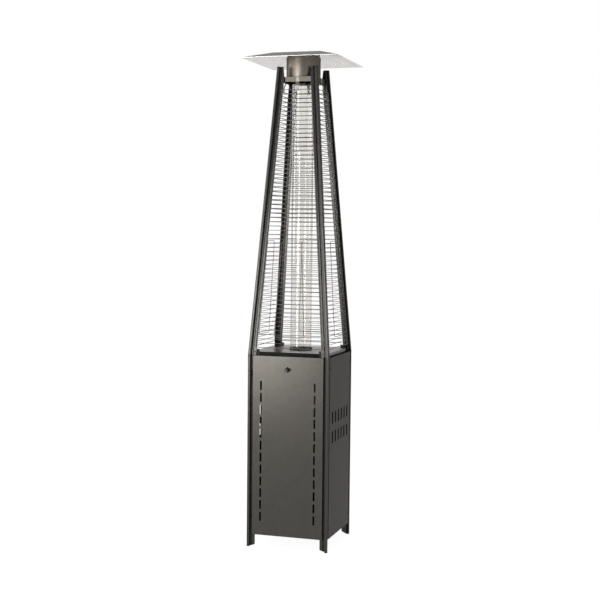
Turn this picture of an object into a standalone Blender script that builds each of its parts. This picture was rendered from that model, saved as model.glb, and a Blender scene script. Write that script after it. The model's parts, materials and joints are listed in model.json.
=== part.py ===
"""Patio heater with a square cabinet, a tapering tower and a glass flame tube.

Metres, +Z up. The origin is on the floor under the middle of the heater.
The front door faces -Y and +X is the viewer's right.
"""

import math

import bmesh
import bpy
from mathutils import Matrix, Vector

# Driving sizes of the whole heater
TOTAL_HEIGHT = 2.2965
CABINET_WIDTH = 0.391
TOWER_TOP_WIDTH = 0.1956
KINK_Z = 0.8945
FOOT_CLEARANCE = 0.058
GAP = 0.0003
POST_TOP_BELOW_TOP = 0.071

CABINET_HALF = CABINET_WIDTH / 2
TOWER_TOP_HALF = TOWER_TOP_WIDTH / 2
POST_TOP_Z = TOTAL_HEIGHT - POST_TOP_BELOW_TOP
LEAN = (CABINET_HALF - TOWER_TOP_HALF) / (POST_TOP_Z - KINK_Z)

# Section of a corner post: a hollow bead on the corner, a groove and a flange on each side
POST_ARM = 0.038
POST_BEAD = 0.013
POST_SHEET = 0.0015
GROOVE_DEPTH = 0.0125
GROOVE_END = 0.022
FLANGE_START = 0.024
FLANGE_DEPTH = 0.009
BEAD_ROUND = 0.0022
CORNER_ROUND = 0.0035
FLANGE_INNER = FLANGE_DEPTH + POST_SHEET
GROOVE_INNER = GROOVE_DEPTH + POST_SHEET
FOOT_TRIM = 0.011
TOP_TRIM = 0.045
TOP_TRIM_RUN = 0.009

# Cabinet panels and door: folded pans on the post flanges
PANEL_INSET = 0.026
PANEL_WIDTH = CABINET_WIDTH - PANEL_INSET * 2
PANEL_BELOW_KINK = 0.0005
PANEL_TOP_Z = KINK_Z - PANEL_BELOW_KINK
PANEL_FACE_DEPTH = 0.0005
PANEL_SHEET = 0.0015
PANEL_ROUND = 0.0008
DOOR_SLOT_ROWS = 12
DOOR_SLOT_HEIGHT = 0.042
DOOR_SLOT_WIDTH = 0.0095
DOOR_SLOT_MARGIN = 0.040
DOOR_SLOT_ABOVE_FOOT = 0.087
DOOR_SLOT_BELOW_KINK = 0.1385
DOOR_SLOT_X = PANEL_WIDTH / 2 - DOOR_SLOT_MARGIN
DOOR_SLOT_LAST_Z = FOOT_CLEARANCE + DOOR_SLOT_ABOVE_FOOT
DOOR_SLOT_FIRST_Z = KINK_Z - DOOR_SLOT_BELOW_KINK
DOOR_SLOT_PITCH = (DOOR_SLOT_FIRST_Z - DOOR_SLOT_LAST_Z) / (DOOR_SLOT_ROWS - 1)
SIDE_SLOT_COLUMNS = 6
SIDE_SLOT_HEIGHT = 0.055
SIDE_SLOT_WIDTH = 0.019
SIDE_SLOT_MARGIN = 0.04725
SIDE_SLOT_BELOW_KINK = 0.2815
SIDE_SLOT_ROW_STEP = 0.090
SIDE_SLOT_PITCH = (PANEL_WIDTH - SIDE_SLOT_MARGIN * 2) / (SIDE_SLOT_COLUMNS - 1)
SIDE_SLOT_HIGH_Z = KINK_Z - SIDE_SLOT_BELOW_KINK
SIDE_SLOT_LOW_Z = SIDE_SLOT_HIGH_Z - SIDE_SLOT_ROW_STEP

# Base plate and burner shelf
TRAY_SHEET = 0.0015
BASE_LIP_HEIGHT = 0.020
BASE_LIP_INSET = 0.0475
BASE_LIP_REACH = CABINET_HALF - BASE_LIP_INSET
BASE_NOTCH = 0.027
SHELF_ABOVE_KINK = 0.017
SHELF_TOP_Z = KINK_Z + SHELF_ABOVE_KINK
SHELF_LIP_HEIGHT = 0.015
SHELF_NOTCH = 0.053
CORNER_ANGLE_SHEET = 0.0012
CORNER_ANGLE_LENGTH = 0.050
CORNER_ANGLE_BELOW_KINK = 0.030
CORNER_ANGLE_ABOVE_KINK = 0.029
CORNER_ANGLE_LOW_Z = KINK_Z - CORNER_ANGLE_BELOW_KINK
CORNER_ANGLE_HIGH_Z = KINK_Z + CORNER_ANGLE_ABOVE_KINK

# Wire guards of the tower
WIRE_RADIUS = 0.0012
RAIL_RADIUS = 0.0016
SIDE_WIRE_HALF = 0.0011
WIRE_PITCH = 0.020
WIRE_SIDES = 4
RAIL_SIDES = 6
SIDE_WIRE_SIDES = 4
SIDE_WIRE_OVERLAP = 0.005
RAIL_OVERLAP = 0.010
GUARD_DEPTH = FLANGE_DEPTH - GAP - RAIL_RADIUS
GUARD_ABOVE_KINK = 0.037
GUARD_BELOW_TOP = 0.178
GUARD_SPLIT_DROP = 0.0335
GUARD_SPLIT = 0.020
LOWER_GUARD_BOTTOM_Z = KINK_Z + GUARD_ABOVE_KINK
UPPER_GUARD_TOP_Z = TOTAL_HEIGHT - GUARD_BELOW_TOP
LOWER_GUARD_TOP_Z = (LOWER_GUARD_BOTTOM_Z + UPPER_GUARD_TOP_Z) / 2 - GUARD_SPLIT_DROP
UPPER_GUARD_BOTTOM_Z = LOWER_GUARD_TOP_Z + GUARD_SPLIT
LOWER_GUARD_HEAVY_WIRES = (3, -2)
LOOP_ABOVE_RAIL = 0.050
LOOP_BELOW_RAIL = 0.068
LOOP_BOTTOM_INSET = 0.0796
LOOP_TOP_INSET = 0.0717
LOOP_BOTTOM_Z = LOWER_GUARD_BOTTOM_Z + LOOP_ABOVE_RAIL
LOOP_TOP_Z = LOWER_GUARD_TOP_Z - LOOP_BELOW_RAIL
LOOP_CORNER = 0.016
LOOP_CORNER_STEPS = 3
LOOP_RADIUS = 0.0014

# Top plate, hood and reflector
PLATE_BELOW_TOP = 0.118
PLATE_TOP_Z = TOTAL_HEIGHT - PLATE_BELOW_TOP
PLATE_CLEARANCE = 0.001
PLATE_HALF = TOWER_TOP_HALF + LEAN * (POST_TOP_Z - PLATE_TOP_Z) - GROOVE_INNER - PLATE_CLEARANCE
PLATE_LIP_HEIGHT = 0.022
LIP_SETBACK = 0.0002
LIP_END_RISE = 0.002
LIP_MIDDLE_RISE = 0.001
EAR_RADIUS = 0.014
EAR_CORNER = 0.028
EAR_OFFSET = PLATE_HALF - EAR_CORNER
EAR_DROP = 0.032
EAR_CENTRE_Z = PLATE_TOP_Z - EAR_DROP
CLIP_WIDTH = 0.017
CLIP_SHEET = 0.0012
CLIP_BELOW_RAIL = 0.006
CLIP_BOTTOM_Z = UPPER_GUARD_TOP_Z - CLIP_BELOW_RAIL
HOOD_INSET = 0.0065
HOOD_RADIUS = PLATE_HALF - HOOD_INSET
HOOD_SHEET = 0.001
HOOD_SHOULDER_BELOW_TOP = 0.0205
HOOD_SHOULDER_Z = TOTAL_HEIGHT - HOOD_SHOULDER_BELOW_TOP
HOOD_BEAD_DROP = 0.011
HOOD_BEAD_Z = HOOD_SHOULDER_Z - HOOD_BEAD_DROP
HOOD_BEAD_PROUD = 0.0013
HOOD_BEAD_HALF = 0.0025
HOOD_NECK_INSET = 0.0085
HOOD_NECK_RADIUS = HOOD_RADIUS - HOOD_NECK_INSET
HOOD_NECK_HEIGHT = 0.005
HOOD_NECK_Z = HOOD_SHOULDER_Z + HOOD_NECK_HEIGHT
HOOD_ROUND = 0.001
REFLECTOR_WIDTH = 0.457
REFLECTOR_PLATEAU = 0.225
REFLECTOR_RISE = 0.0335
REFLECTOR_BELOW_TOP = 0.008
REFLECTOR_TOP_Z = TOTAL_HEIGHT - REFLECTOR_BELOW_TOP
REFLECTOR_EDGE_Z = REFLECTOR_TOP_Z - REFLECTOR_RISE
REFLECTOR_SHEET = 0.001
BOLT_INSET = 0.0043
BOLT_CIRCLE = HOOD_RADIUS - BOLT_INSET
BOLT_RADIUS = 0.002
BOLT_SLEEVE_RADIUS = 0.0035
NUT_RADIUS = 0.004
NUT_HEIGHT = 0.0035
NUT_DOME_RADIUS = 0.0028
BOLT_HOLE_RADIUS = 0.0026

# Glass tube, its seat below and its collar above
TUBE_RADIUS = 0.050
TUBE_WALL = 0.0025
TUBE_ABOVE_SHELF = 0.0038
TUBE_BELOW_PLATE = 0.005
TUBE_BOTTOM_Z = SHELF_TOP_Z + TUBE_ABOVE_SHELF
TUBE_TOP_Z = PLATE_TOP_Z - TUBE_BELOW_PLATE
TUBE_CLEARANCE = 0.0006
TUBE_HOLE_INSET = 0.0035
TUBE_HOLE_RADIUS = TUBE_RADIUS - TUBE_HOLE_INSET
SEAT_RING = 0.004
SEAT_LEDGE = 0.005
SEAT_HEIGHT = 0.008
SEAT_RADIUS = TUBE_RADIUS + SEAT_RING
SEAT_LEDGE_RADIUS = TUBE_RADIUS - SEAT_LEDGE
SEAT_TOP_Z = SHELF_TOP_Z + SEAT_HEIGHT
COLLAR_RING = 0.006
COLLAR_HEIGHT = 0.017
COLLAR_RADIUS = TUBE_RADIUS + COLLAR_RING
COLLAR_BOTTOM_Z = PLATE_TOP_Z - COLLAR_HEIGHT

# Burner parts under the tube
CUP_INSET = 0.006
CUP_RADIUS = TUBE_RADIUS - CUP_INSET
CUP_SHEET = 0.0015
CUP_DEPTH = 0.057
CUP_BOTTOM_Z = SHELF_TOP_Z - CUP_DEPTH
CUP_FLANGE = 0.012
CUP_FLANGE_RADIUS = CUP_RADIUS + CUP_FLANGE
BURNER_INSET = 0.014
BURNER_RADIUS = CUP_RADIUS - BURNER_INSET
BURNER_DROP = 0.009
BURNER_DOME = 0.010
BURNER_DOME_Z = SHELF_TOP_Z - BURNER_DROP
BURNER_RIM_Z = BURNER_DOME_Z - BURNER_DOME
BURNER_EDGE = 0.004
BURNER_STEM_RADIUS = 0.008
PILOT_INSET = 0.0075
PILOT_Y = PILOT_INSET - CUP_RADIUS
PILOT_RADIUS = 0.0028
PILOT_DROP = 0.011
PILOT_TOP_Z = SHELF_TOP_Z - PILOT_DROP
PROBE_RADIUS = 0.0016
PROBE_X = 0.010
PROBE_DROP = 0.007
PROBE_TOP_Z = SHELF_TOP_Z - PROBE_DROP
BRIDGE_DROP = 0.031
BRIDGE_Z = SHELF_TOP_Z - BRIDGE_DROP
BRIDGE_HEIGHT = 0.003
BRIDGE_DEPTH = 0.0024
PIPE_RADIUS = 0.004
PIPE_BEND = 0.016
PIPE_BEND_STEPS = 5

# Gas valve, its bracket and the control knob
KNOB_X = -0.002
KNOB_BELOW_KINK = 0.061
KNOB_Z = KINK_Z - KNOB_BELOW_KINK
KNOB_RADIUS = 0.0100
KNOB_FRONT_RADIUS = 0.0090
KNOB_PROUD = 0.0240
KNOB_REAR_DEPTH = 0.0025
KNOB_REAR_Y = KNOB_REAR_DEPTH - CABINET_HALF
KNOB_ROUND = 0.0014
KNOB_RIB_WIDTH = 0.0035
KNOB_RIB_HEIGHT = 0.0012
KNOB_HOLE_RADIUS = 0.0127
STEM_RADIUS = 0.0030
STEM_BORE_RADIUS = 0.0032
STEM_PROUD = 0.0055
STEM_DEPTH = 0.0365
STEM_FRONT_Y = -CABINET_HALF - STEM_PROUD
STEM_REAR_Y = STEM_DEPTH - CABINET_HALF
PUSH_COLLAR_RADIUS = 0.0060
PUSH_COLLAR_BORE = 0.0031
PUSH_COLLAR_DEPTH = 0.014
PUSH_COLLAR_LENGTH = 0.004
PUSH_COLLAR_FRONT_Y = PUSH_COLLAR_DEPTH - CABINET_HALF
PUSH_COLLAR_REAR_Y = PUSH_COLLAR_FRONT_Y + PUSH_COLLAR_LENGTH
BRACKET_DEPTH = 0.025
BRACKET_FRONT_Y = BRACKET_DEPTH - CABINET_HALF
BRACKET_SHEET = 0.0015
BRACKET_HALF_WIDTH = 0.034
BRACKET_DROP = 0.031
BRACKET_BOTTOM_Z = KNOB_Z - BRACKET_DROP
BRACKET_FLANGE_DEPTH = 0.030
BRACKET_HOLE_RADIUS = 0.0085
VALVE_WIDTH = 0.046
VALVE_DEPTH = 0.038
VALVE_HEIGHT = 0.050
VALVE_ROUND = 0.003
VALVE_BOSS_RADIUS = 0.0081
VALVE_BOSS_DEPTH = 0.0223
VALVE_BORE_DEPTH = 0.0425
VALVE_BOSS_FRONT_Y = VALVE_BOSS_DEPTH - CABINET_HALF
VALVE_BORE_BOTTOM_Y = VALVE_BORE_DEPTH - CABINET_HALF
INLET_RADIUS = 0.0075
INLET_LENGTH = 0.022
INLET_SINK = 0.004
OUTLET_RADIUS = 0.0065
OUTLET_LENGTH = 0.008

# Door hardware and tilt switch
HINGE_INSET = 0.0185
HINGE_DEPTH = 0.004
HINGE_X = HINGE_INSET - CABINET_HALF
HINGE_Y = HINGE_DEPTH - CABINET_HALF
HINGE_ABOVE_FOOT = 0.092
HINGE_BELOW_KINK = 0.086
KNUCKLE_RADIUS = 0.0027
KNUCKLE_LENGTH = 0.012
PIN_RADIUS = 0.0012
PIN_BORE_RADIUS = 0.0013
LEAF_THICKNESS = 0.0012
CATCH_WIDTH = 0.012
CATCH_HEIGHT = 0.034
CATCH_BELOW_KINK = 0.050
CATCH_DEPTH = 0.0205
CATCH_Z = KINK_Z - CATCH_BELOW_KINK
CATCH_BACK_Y = CATCH_DEPTH - CABINET_HALF
STRIKE_SHEET = 0.0011
TILT_SWITCH_SIZE = (0.046, 0.024, 0.024)
TILT_SWITCH_SIDE_INSET = 0.0725
TILT_SWITCH_REAR_INSET = 0.0295
TILT_SWITCH_X = TILT_SWITCH_SIDE_INSET - CABINET_HALF
TILT_SWITCH_Y = CABINET_HALF - TILT_SWITCH_REAR_INSET
TILT_CAP_RADIUS = 0.009
TILT_CAP_HEIGHT = 0.006

# Curve smoothness
ROUND_STEPS = 24
SMALL_STEPS = 12
BOLT_STEPS = 8
CORNER_STEPS = 3
WELD = 0.000001
CUT_MARGIN = 0.010
SMOOTH_ANGLE = math.radians(35)

BLACK_PAINT = ((0.022, 0.021, 0.019, 1.0), 0.6, 0.38)
BRONZE_PAINT = ((0.115, 0.108, 0.098, 1.0), 0.75, 0.36)
WIRE_CHROME = ((0.30, 0.29, 0.28, 1.0), 0.9, 0.32)
ALUMINIUM = ((0.72, 0.71, 0.70, 1.0), 1.0, 0.30)
BARE_STEEL = ((0.42, 0.41, 0.40, 1.0), 1.0, 0.35)
BURNER_STEEL = ((0.16, 0.15, 0.14, 1.0), 1.0, 0.45)
BRASS = ((0.62, 0.46, 0.20, 1.0), 1.0, 0.30)
BLACK_PLASTIC = ((0.015, 0.015, 0.015, 1.0), 0.0, 0.35)
GLASS = ((0.92, 0.93, 0.93, 1.0), 0.0, 0.03)

FACES = ("front", "right", "rear", "left")
CORNERS = ("front_left", "front_right", "rear_right", "rear_left")


def clear_scene():
    for old in list(bpy.data.objects):
        bpy.data.objects.remove(old, do_unlink=True)


def new_collection(name):
    collection = bpy.data.collections.new(name)
    bpy.context.scene.collection.children.link(collection)
    return collection


def finish_material(name, finish):
    colour, metallic, roughness = finish
    material = bpy.data.materials.new(name + "_finish")
    material.use_nodes = True
    shader = material.node_tree.nodes["Principled BSDF"]
    shader.inputs["Base Color"].default_value = colour
    shader.inputs["Metallic"].default_value = metallic
    shader.inputs["Roughness"].default_value = roughness
    if finish is GLASS:
        shader.inputs["Transmission Weight"].default_value = 1.0
    return material


def add_object(name, mesh, finish, smooth=False):
    obj = bpy.data.objects.new(name, mesh)
    PARTS.objects.link(obj)
    if smooth:
        mesh.shade_smooth()
        mesh.set_sharp_from_angle(angle=SMOOTH_ANGLE)
    mesh.materials.clear()
    mesh.materials.append(finish_material(name, finish))
    return obj


def welded_mesh(name, bm):
    """Closes the seams of a freshly made shape and turns its faces outwards."""
    bmesh.ops.remove_doubles(bm, verts=bm.verts, dist=WELD)
    bmesh.ops.recalc_face_normals(bm, faces=bm.faces)
    mesh = bpy.data.meshes.new(name)
    bm.to_mesh(mesh)
    bm.free()
    return mesh


def evaluated_mesh(obj):
    """The mesh of an object after its modifiers, in world space; the object is removed."""
    bpy.context.view_layer.update()
    graph = bpy.context.evaluated_depsgraph_get()
    mesh = bpy.data.meshes.new_from_object(obj.evaluated_get(graph))
    mesh.transform(obj.matrix_world)
    bpy.data.objects.remove(obj, do_unlink=True)
    bm = bmesh.new()
    bm.from_mesh(mesh)
    return welded_mesh("solid", bm)


def outline_mesh(loops, thickness, matrix=Matrix()):
    """Flat outline, with any holes, given a thickness along its own Z and then placed."""
    curve = bpy.data.curves.new("outline", "CURVE")
    curve.dimensions = "2D"
    curve.fill_mode = "BOTH"
    curve.extrude = thickness / 2
    for loop in loops:
        spline = curve.splines.new("POLY")
        spline.points.add(len(loop) - 1)
        for point, (x, y) in zip(spline.points, loop):
            point.co = (x, y, 0.0, 1.0)
        spline.use_cyclic_u = True
    obj = bpy.data.objects.new("outline", curve)
    PARTS.objects.link(obj)
    mesh = evaluated_mesh(obj)
    mesh.transform(matrix)
    return mesh


def turned_mesh(profile, steps, matrix=Matrix()):
    """Turned shape: a profile of (radius, height), its outer side from top to bottom."""
    bm = bmesh.new()
    verts = [bm.verts.new((radius, 0.0, height)) for radius, height in profile]
    for start, end in zip(verts, verts[1:]):
        bm.edges.new((start, end))
    mesh = bpy.data.meshes.new("profile")
    bm.to_mesh(mesh)
    bm.free()
    obj = bpy.data.objects.new("profile", mesh)
    PARTS.objects.link(obj)
    screw = obj.modifiers.new("turn", "SCREW")
    screw.steps = steps
    screw.render_steps = steps
    screw.use_merge_vertices = True
    screw.merge_threshold = WELD
    solid = evaluated_mesh(obj)
    solid.transform(matrix)
    return solid


def box_mesh(low, high, bevel=0.0):
    """Box between two corners, with its edges rounded when a bevel is given."""
    low = Vector(low)
    high = Vector(high)
    size = high - low
    bm = bmesh.new()
    bmesh.ops.create_cube(bm, size=1.0)
    place = Matrix.Translation((low + high) / 2) @ Matrix.Diagonal((*size, 1.0))
    bmesh.ops.transform(bm, matrix=place, verts=bm.verts)
    if bevel:
        bmesh.ops.bevel(bm, geom=bm.edges[:], offset=bevel, segments=1, affect="EDGES")
    return welded_mesh("box", bm)


def add_rod(bm, start, end, radius, sides, spin=0.0):
    """Straight rod from start to end, added to a mesh being built."""
    start = Vector(start)
    end = Vector(end)
    along = end - start
    turn = along.to_track_quat("Z", "Y").to_matrix().to_4x4()
    place = Matrix.Translation((start + end) / 2) @ turn @ Matrix.Rotation(spin, 4, "Z")
    bmesh.ops.create_cone(bm, cap_ends=True, segments=sides, radius1=radius, radius2=radius,
                          depth=along.length, matrix=place)


def rod_mesh(start, end, radius, sides=SMALL_STEPS, spin=0.0):
    bm = bmesh.new()
    add_rod(bm, start, end, radius, sides, spin)
    return welded_mesh("rod", bm)


def bent_wire_mesh(points, radius, closed, resolution=1):
    """Round wire or pipe through a list of points."""
    curve = bpy.data.curves.new("wire", "CURVE")
    curve.dimensions = "3D"
    curve.bevel_depth = radius
    curve.bevel_resolution = resolution
    curve.use_fill_caps = True
    spline = curve.splines.new("POLY")
    spline.points.add(len(points) - 1)
    for point, place in zip(spline.points, points):
        point.co = (*place, 1.0)
    spline.use_cyclic_u = closed
    obj = bpy.data.objects.new("wire", curve)
    PARTS.objects.link(obj)
    return evaluated_mesh(obj)


def combine(mesh, other, operation):
    """Boolean of two meshes. The second one is used up as the cutter or the added shape."""
    base = bpy.data.objects.new("base", mesh)
    tool = bpy.data.objects.new("tool", other)
    PARTS.objects.link(base)
    CUTTERS.objects.link(tool)
    tool.hide_render = True
    tool.display_type = "WIRE"
    cut = base.modifiers.new("cut", "BOOLEAN")
    cut.operation = operation
    cut.solver = "EXACT"
    cut.object = tool
    solid = evaluated_mesh(base)
    bpy.data.objects.remove(tool, do_unlink=True)
    return solid


def joined(meshes):
    """Several shapes that don't touch, as one mesh for a cutter or a union."""
    bm = bmesh.new()
    for mesh in meshes:
        bm.from_mesh(mesh)
    return welded_mesh("joined", bm)


def arc_points(centre, radius, start_deg, end_deg, steps):
    """Points of an arc, both ends included."""
    points = []
    for i in range(steps + 1):
        angle = math.radians(start_deg + (end_deg - start_deg) * i / steps)
        points.append((centre[0] + radius * math.cos(angle), centre[1] + radius * math.sin(angle)))
    return points


def quarter_turn(count):
    return Matrix.Rotation(math.radians(90) * count, 4, "Z")


def half_width(z):
    """Half the outer width of the posts at a height: straight cabinet, tapering tower."""
    return CABINET_HALF - LEAN * max(0.0, z - KINK_Z)


def post_section():
    """Section of a post, measured inwards from the cabinet's front left corner."""
    one_arm = [
        (POST_ARM, FLANGE_INNER),
        (POST_ARM, FLANGE_DEPTH),
        (FLANGE_START, FLANGE_DEPTH),
        (GROOVE_END, GROOVE_DEPTH),
        (POST_BEAD, GROOVE_DEPTH),
    ]
    bead = arc_points((POST_BEAD - BEAD_ROUND, BEAD_ROUND), BEAD_ROUND, 0, -90, CORNER_STEPS - 1)
    corner = arc_points((CORNER_ROUND, CORNER_ROUND), CORNER_ROUND, 270, 180, CORNER_STEPS)
    half = one_arm + bead
    inner_half = [(FLANGE_START, FLANGE_INNER), (GROOVE_END, GROOVE_INNER)]
    outer = half + corner + [(y, x) for x, y in reversed(half)]
    inner = [(y, x) for x, y in inner_half] + [(GROOVE_INNER, GROOVE_INNER)] + inner_half[::-1]
    hollow_low = POST_SHEET
    hollow_high = POST_BEAD - POST_SHEET
    hollow = [(hollow_low, hollow_low), (hollow_high, hollow_low), (hollow_high, hollow_high),
              (hollow_low, hollow_high)]
    return [outer + inner, hollow]


def slanted_cutter(across, height, rise, below):
    """Block bounded by a plane that climbs away from the corner along its diagonal.

    The plane passes the height at the distance 'across' from the corner, measured along
    the two arms added together, and climbs by 'rise' for each unit of that sum.
    """
    tilt = math.atan(rise * math.sqrt(2))
    block = CABINET_WIDTH
    low = (-block, -block, -block if below else 0.0)
    high = (block, block, 0.0 if below else block)
    mesh = box_mesh(low, high)
    turn = Matrix.Rotation(math.radians(45), 4, "Z") @ Matrix.Rotation(-tilt, 4, "Y")
    mesh.transform(Matrix.Translation((across / 2, across / 2, height)) @ turn)
    return mesh


def lower_post_mesh():
    height = KINK_Z - GAP
    mesh = outline_mesh(post_section(), height, Matrix.Translation((0, 0, height / 2)))
    run = POST_ARM + FLANGE_DEPTH - POST_BEAD * 2
    cutter = slanted_cutter(POST_BEAD * 2, 0.0, FOOT_TRIM / run, below=True)
    return combine(mesh, cutter, "DIFFERENCE")


def upper_post_mesh():
    """Upper post: the same section, leaning inwards on both faces, its arms trimmed on top."""
    height = POST_TOP_Z - KINK_Z
    mesh = outline_mesh(post_section(), height, Matrix.Translation((0, 0, height / 2)))
    arm_end = POST_ARM + FLANGE_DEPTH
    cutter = slanted_cutter(arm_end - TOP_TRIM_RUN, height, -TOP_TRIM / TOP_TRIM_RUN, below=False)
    mesh = combine(mesh, cutter, "DIFFERENCE")
    shear = Matrix.Identity(4)
    shear[0][2] = LEAN
    shear[1][2] = LEAN
    mesh.transform(Matrix.Translation((0, 0, KINK_Z)) @ shear)
    return mesh


def add_posts():
    corner = Matrix.Translation((-CABINET_HALF, -CABINET_HALF, 0.0))
    for level, maker in (("lower", lower_post_mesh), ("upper", upper_post_mesh)):
        for turns, place in enumerate(CORNERS):
            mesh = maker()
            mesh.transform(quarter_turn(turns) @ corner)
            add_object(level + "_post_" + place, mesh, BLACK_PAINT)


def corner_angle_mesh():
    """Angle inside a corner that joins a lower post to an upper one."""
    start = GROOVE_INNER + GAP + LEAN * (CORNER_ANGLE_HIGH_Z - KINK_Z)
    thick = start + CORNER_ANGLE_SHEET
    end = start + CORNER_ANGLE_LENGTH - GROOVE_INNER
    loop = [(start, start), (end, start), (end, thick), (thick, thick), (thick, end), (start, end)]
    height = CORNER_ANGLE_HIGH_Z - CORNER_ANGLE_LOW_Z
    middle = (CORNER_ANGLE_HIGH_Z + CORNER_ANGLE_LOW_Z) / 2
    return outline_mesh([loop], height, Matrix.Translation((-CABINET_HALF, -CABINET_HALF, middle)))


def add_corner_angles():
    for turns, place in enumerate(CORNERS):
        mesh = corner_angle_mesh()
        mesh.transform(quarter_turn(turns))
        add_object("post_joint_" + place, mesh, BARE_STEEL)


def notched_square(half, edge_depth, notch, notch_depth):
    """Square outline whose corners step back to clear the posts, as one closed loop."""
    step = notch_depth - edge_depth
    inset = notch - edge_depth
    corner = [(inset, 0.0), (inset, step), (step, step), (step, inset), (0.0, inset)]
    loop = []
    for turn in range(4):
        spin = Matrix.Rotation(math.radians(-90) * turn, 2)
        for u, v in corner:
            point = spin @ Vector((u - half, v - half))
            loop.append((point.x, point.y))
    return loop


def tray_mesh(half, loop, hole_radius, plate_low_z, lip_low_z, lip_high_z, lip_reach):
    """Plate with four folded lips along its straight edges, and a round hole when asked for."""
    loops = [loop]
    if hole_radius:
        loops.append(arc_points((0.0, 0.0), hole_radius, 0, 360, ROUND_STEPS)[:-1])
    middle = plate_low_z + TRAY_SHEET / 2
    mesh = outline_mesh(loops, TRAY_SHEET, Matrix.Translation((0, 0, middle)))
    lip = box_mesh((-lip_reach, -half, lip_low_z), (lip_reach, TRAY_SHEET - half, lip_high_z))
    lips = []
    for turn in range(4):
        copy = lip.copy()
        copy.transform(quarter_turn(turn))
        lips.append(copy)
    return combine(mesh, joined(lips), "UNION")


def add_base_plate():
    edge_depth = FLANGE_INNER + GAP
    half = CABINET_HALF - edge_depth
    loop = notched_square(half, edge_depth, BASE_NOTCH, GROOVE_INNER + GAP)
    low = FOOT_CLEARANCE
    mesh = tray_mesh(half, loop, 0.0, low, low, low + BASE_LIP_HEIGHT, BASE_LIP_REACH)
    add_object("base_plate", mesh, BRONZE_PAINT)


def shelf_half():
    return CABINET_HALF - SHELF_EDGE_DEPTH


def add_burner_shelf():
    half = shelf_half()
    angle_inner = GROOVE_INNER + LEAN * (CORNER_ANGLE_HIGH_Z - KINK_Z) + CORNER_ANGLE_SHEET
    loop = notched_square(half, SHELF_EDGE_DEPTH, SHELF_NOTCH, angle_inner + GAP * 2)
    plate_low = SHELF_TOP_Z - TRAY_SHEET
    reach = CABINET_HALF - SHELF_NOTCH
    mesh = tray_mesh(half, loop, TUBE_HOLE_RADIUS, plate_low, SHELF_TOP_Z - SHELF_LIP_HEIGHT,
                     SHELF_TOP_Z, reach)
    add_object("burner_shelf", mesh, ALUMINIUM)


def slot_cutter(x, z, width, height):
    """Upright slot cutter through a front panel."""
    face = -CABINET_HALF
    low = (x - width / 2, face - CUT_MARGIN, z - height / 2)
    high = (x + width / 2, face + CUT_MARGIN / 2, z + height / 2)
    return box_mesh(low, high)


def panel_mesh(openings):
    """Folded pan in the front face: a sheet with returns on all four sides, and its openings."""
    face = -CABINET_HALF + PANEL_FACE_DEPTH
    back = -CABINET_HALF + FLANGE_DEPTH - GAP
    side = PANEL_WIDTH / 2
    pan = box_mesh((-side, face, FOOT_CLEARANCE), (side, back, PANEL_TOP_Z), PANEL_ROUND)
    low = (PANEL_SHEET - side, face + PANEL_SHEET, FOOT_CLEARANCE + PANEL_SHEET)
    high = (side - PANEL_SHEET, back + CUT_MARGIN, PANEL_TOP_Z - PANEL_SHEET)
    pan = combine(pan, box_mesh(low, high), "DIFFERENCE")
    return combine(pan, joined(openings), "DIFFERENCE") if openings else pan


def side_slots():
    middle = (SIDE_SLOT_COLUMNS - 1) / 2
    slots = []
    for z in (SIDE_SLOT_HIGH_Z, SIDE_SLOT_LOW_Z):
        for column in range(SIDE_SLOT_COLUMNS):
            x = (column - middle) * SIDE_SLOT_PITCH
            slots.append(slot_cutter(x, z, SIDE_SLOT_WIDTH, SIDE_SLOT_HEIGHT))
    return slots


def door_openings():
    cutters = []
    for row in range(DOOR_SLOT_ROWS):
        z = DOOR_SLOT_FIRST_Z - row * DOOR_SLOT_PITCH
        for x in (-DOOR_SLOT_X, DOOR_SLOT_X):
            cutters.append(slot_cutter(x, z, DOOR_SLOT_WIDTH, DOOR_SLOT_HEIGHT))
    front = -CABINET_HALF - CUT_MARGIN
    back = -CABINET_HALF + CUT_MARGIN / 2
    cutters.append(rod_mesh((KNOB_X, front, KNOB_Z), (KNOB_X, back, KNOB_Z), KNOB_HOLE_RADIUS,
                            ROUND_STEPS))
    return cutters


def add_panels():
    for place in ("right", "rear", "left"):
        mesh = panel_mesh(side_slots() if place != "rear" else [])
        mesh.transform(quarter_turn(FACES.index(place)))
        add_object(place + "_panel", mesh, BRONZE_PAINT)


def hang_on_door(obj):
    """Parents a piece to the empty on the door's hinge axis without moving it."""
    obj.data.transform(Matrix.Translation((-HINGE_X, -HINGE_Y, 0.0)))
    obj.parent = DOOR_AXIS


def add_front_door():
    door = add_object("front_door", panel_mesh(door_openings()), BRONZE_PAINT)
    hang_on_door(door)


def door_knuckle_mesh(z):
    """Hollow knuckle on the door's side, with a leaf to the door's return."""
    top = z + KNUCKLE_LENGTH
    leaf_end = GAP_AT_DOOR_EDGE
    barrel = rod_mesh((HINGE_X, HINGE_Y, z), (HINGE_X, HINGE_Y, top), KNUCKLE_RADIUS)
    leaf = box_mesh((HINGE_X, HINGE_Y - LEAF_THICKNESS / 2, z + GAP),
                    (leaf_end, HINGE_Y + LEAF_THICKNESS / 2, top - GAP))
    mesh = combine(barrel, leaf, "UNION")
    bore = rod_mesh((HINGE_X, HINGE_Y, z - CUT_MARGIN), (HINGE_X, HINGE_Y, top + CUT_MARGIN),
                    PIN_BORE_RADIUS)
    return combine(mesh, bore, "DIFFERENCE")


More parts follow.
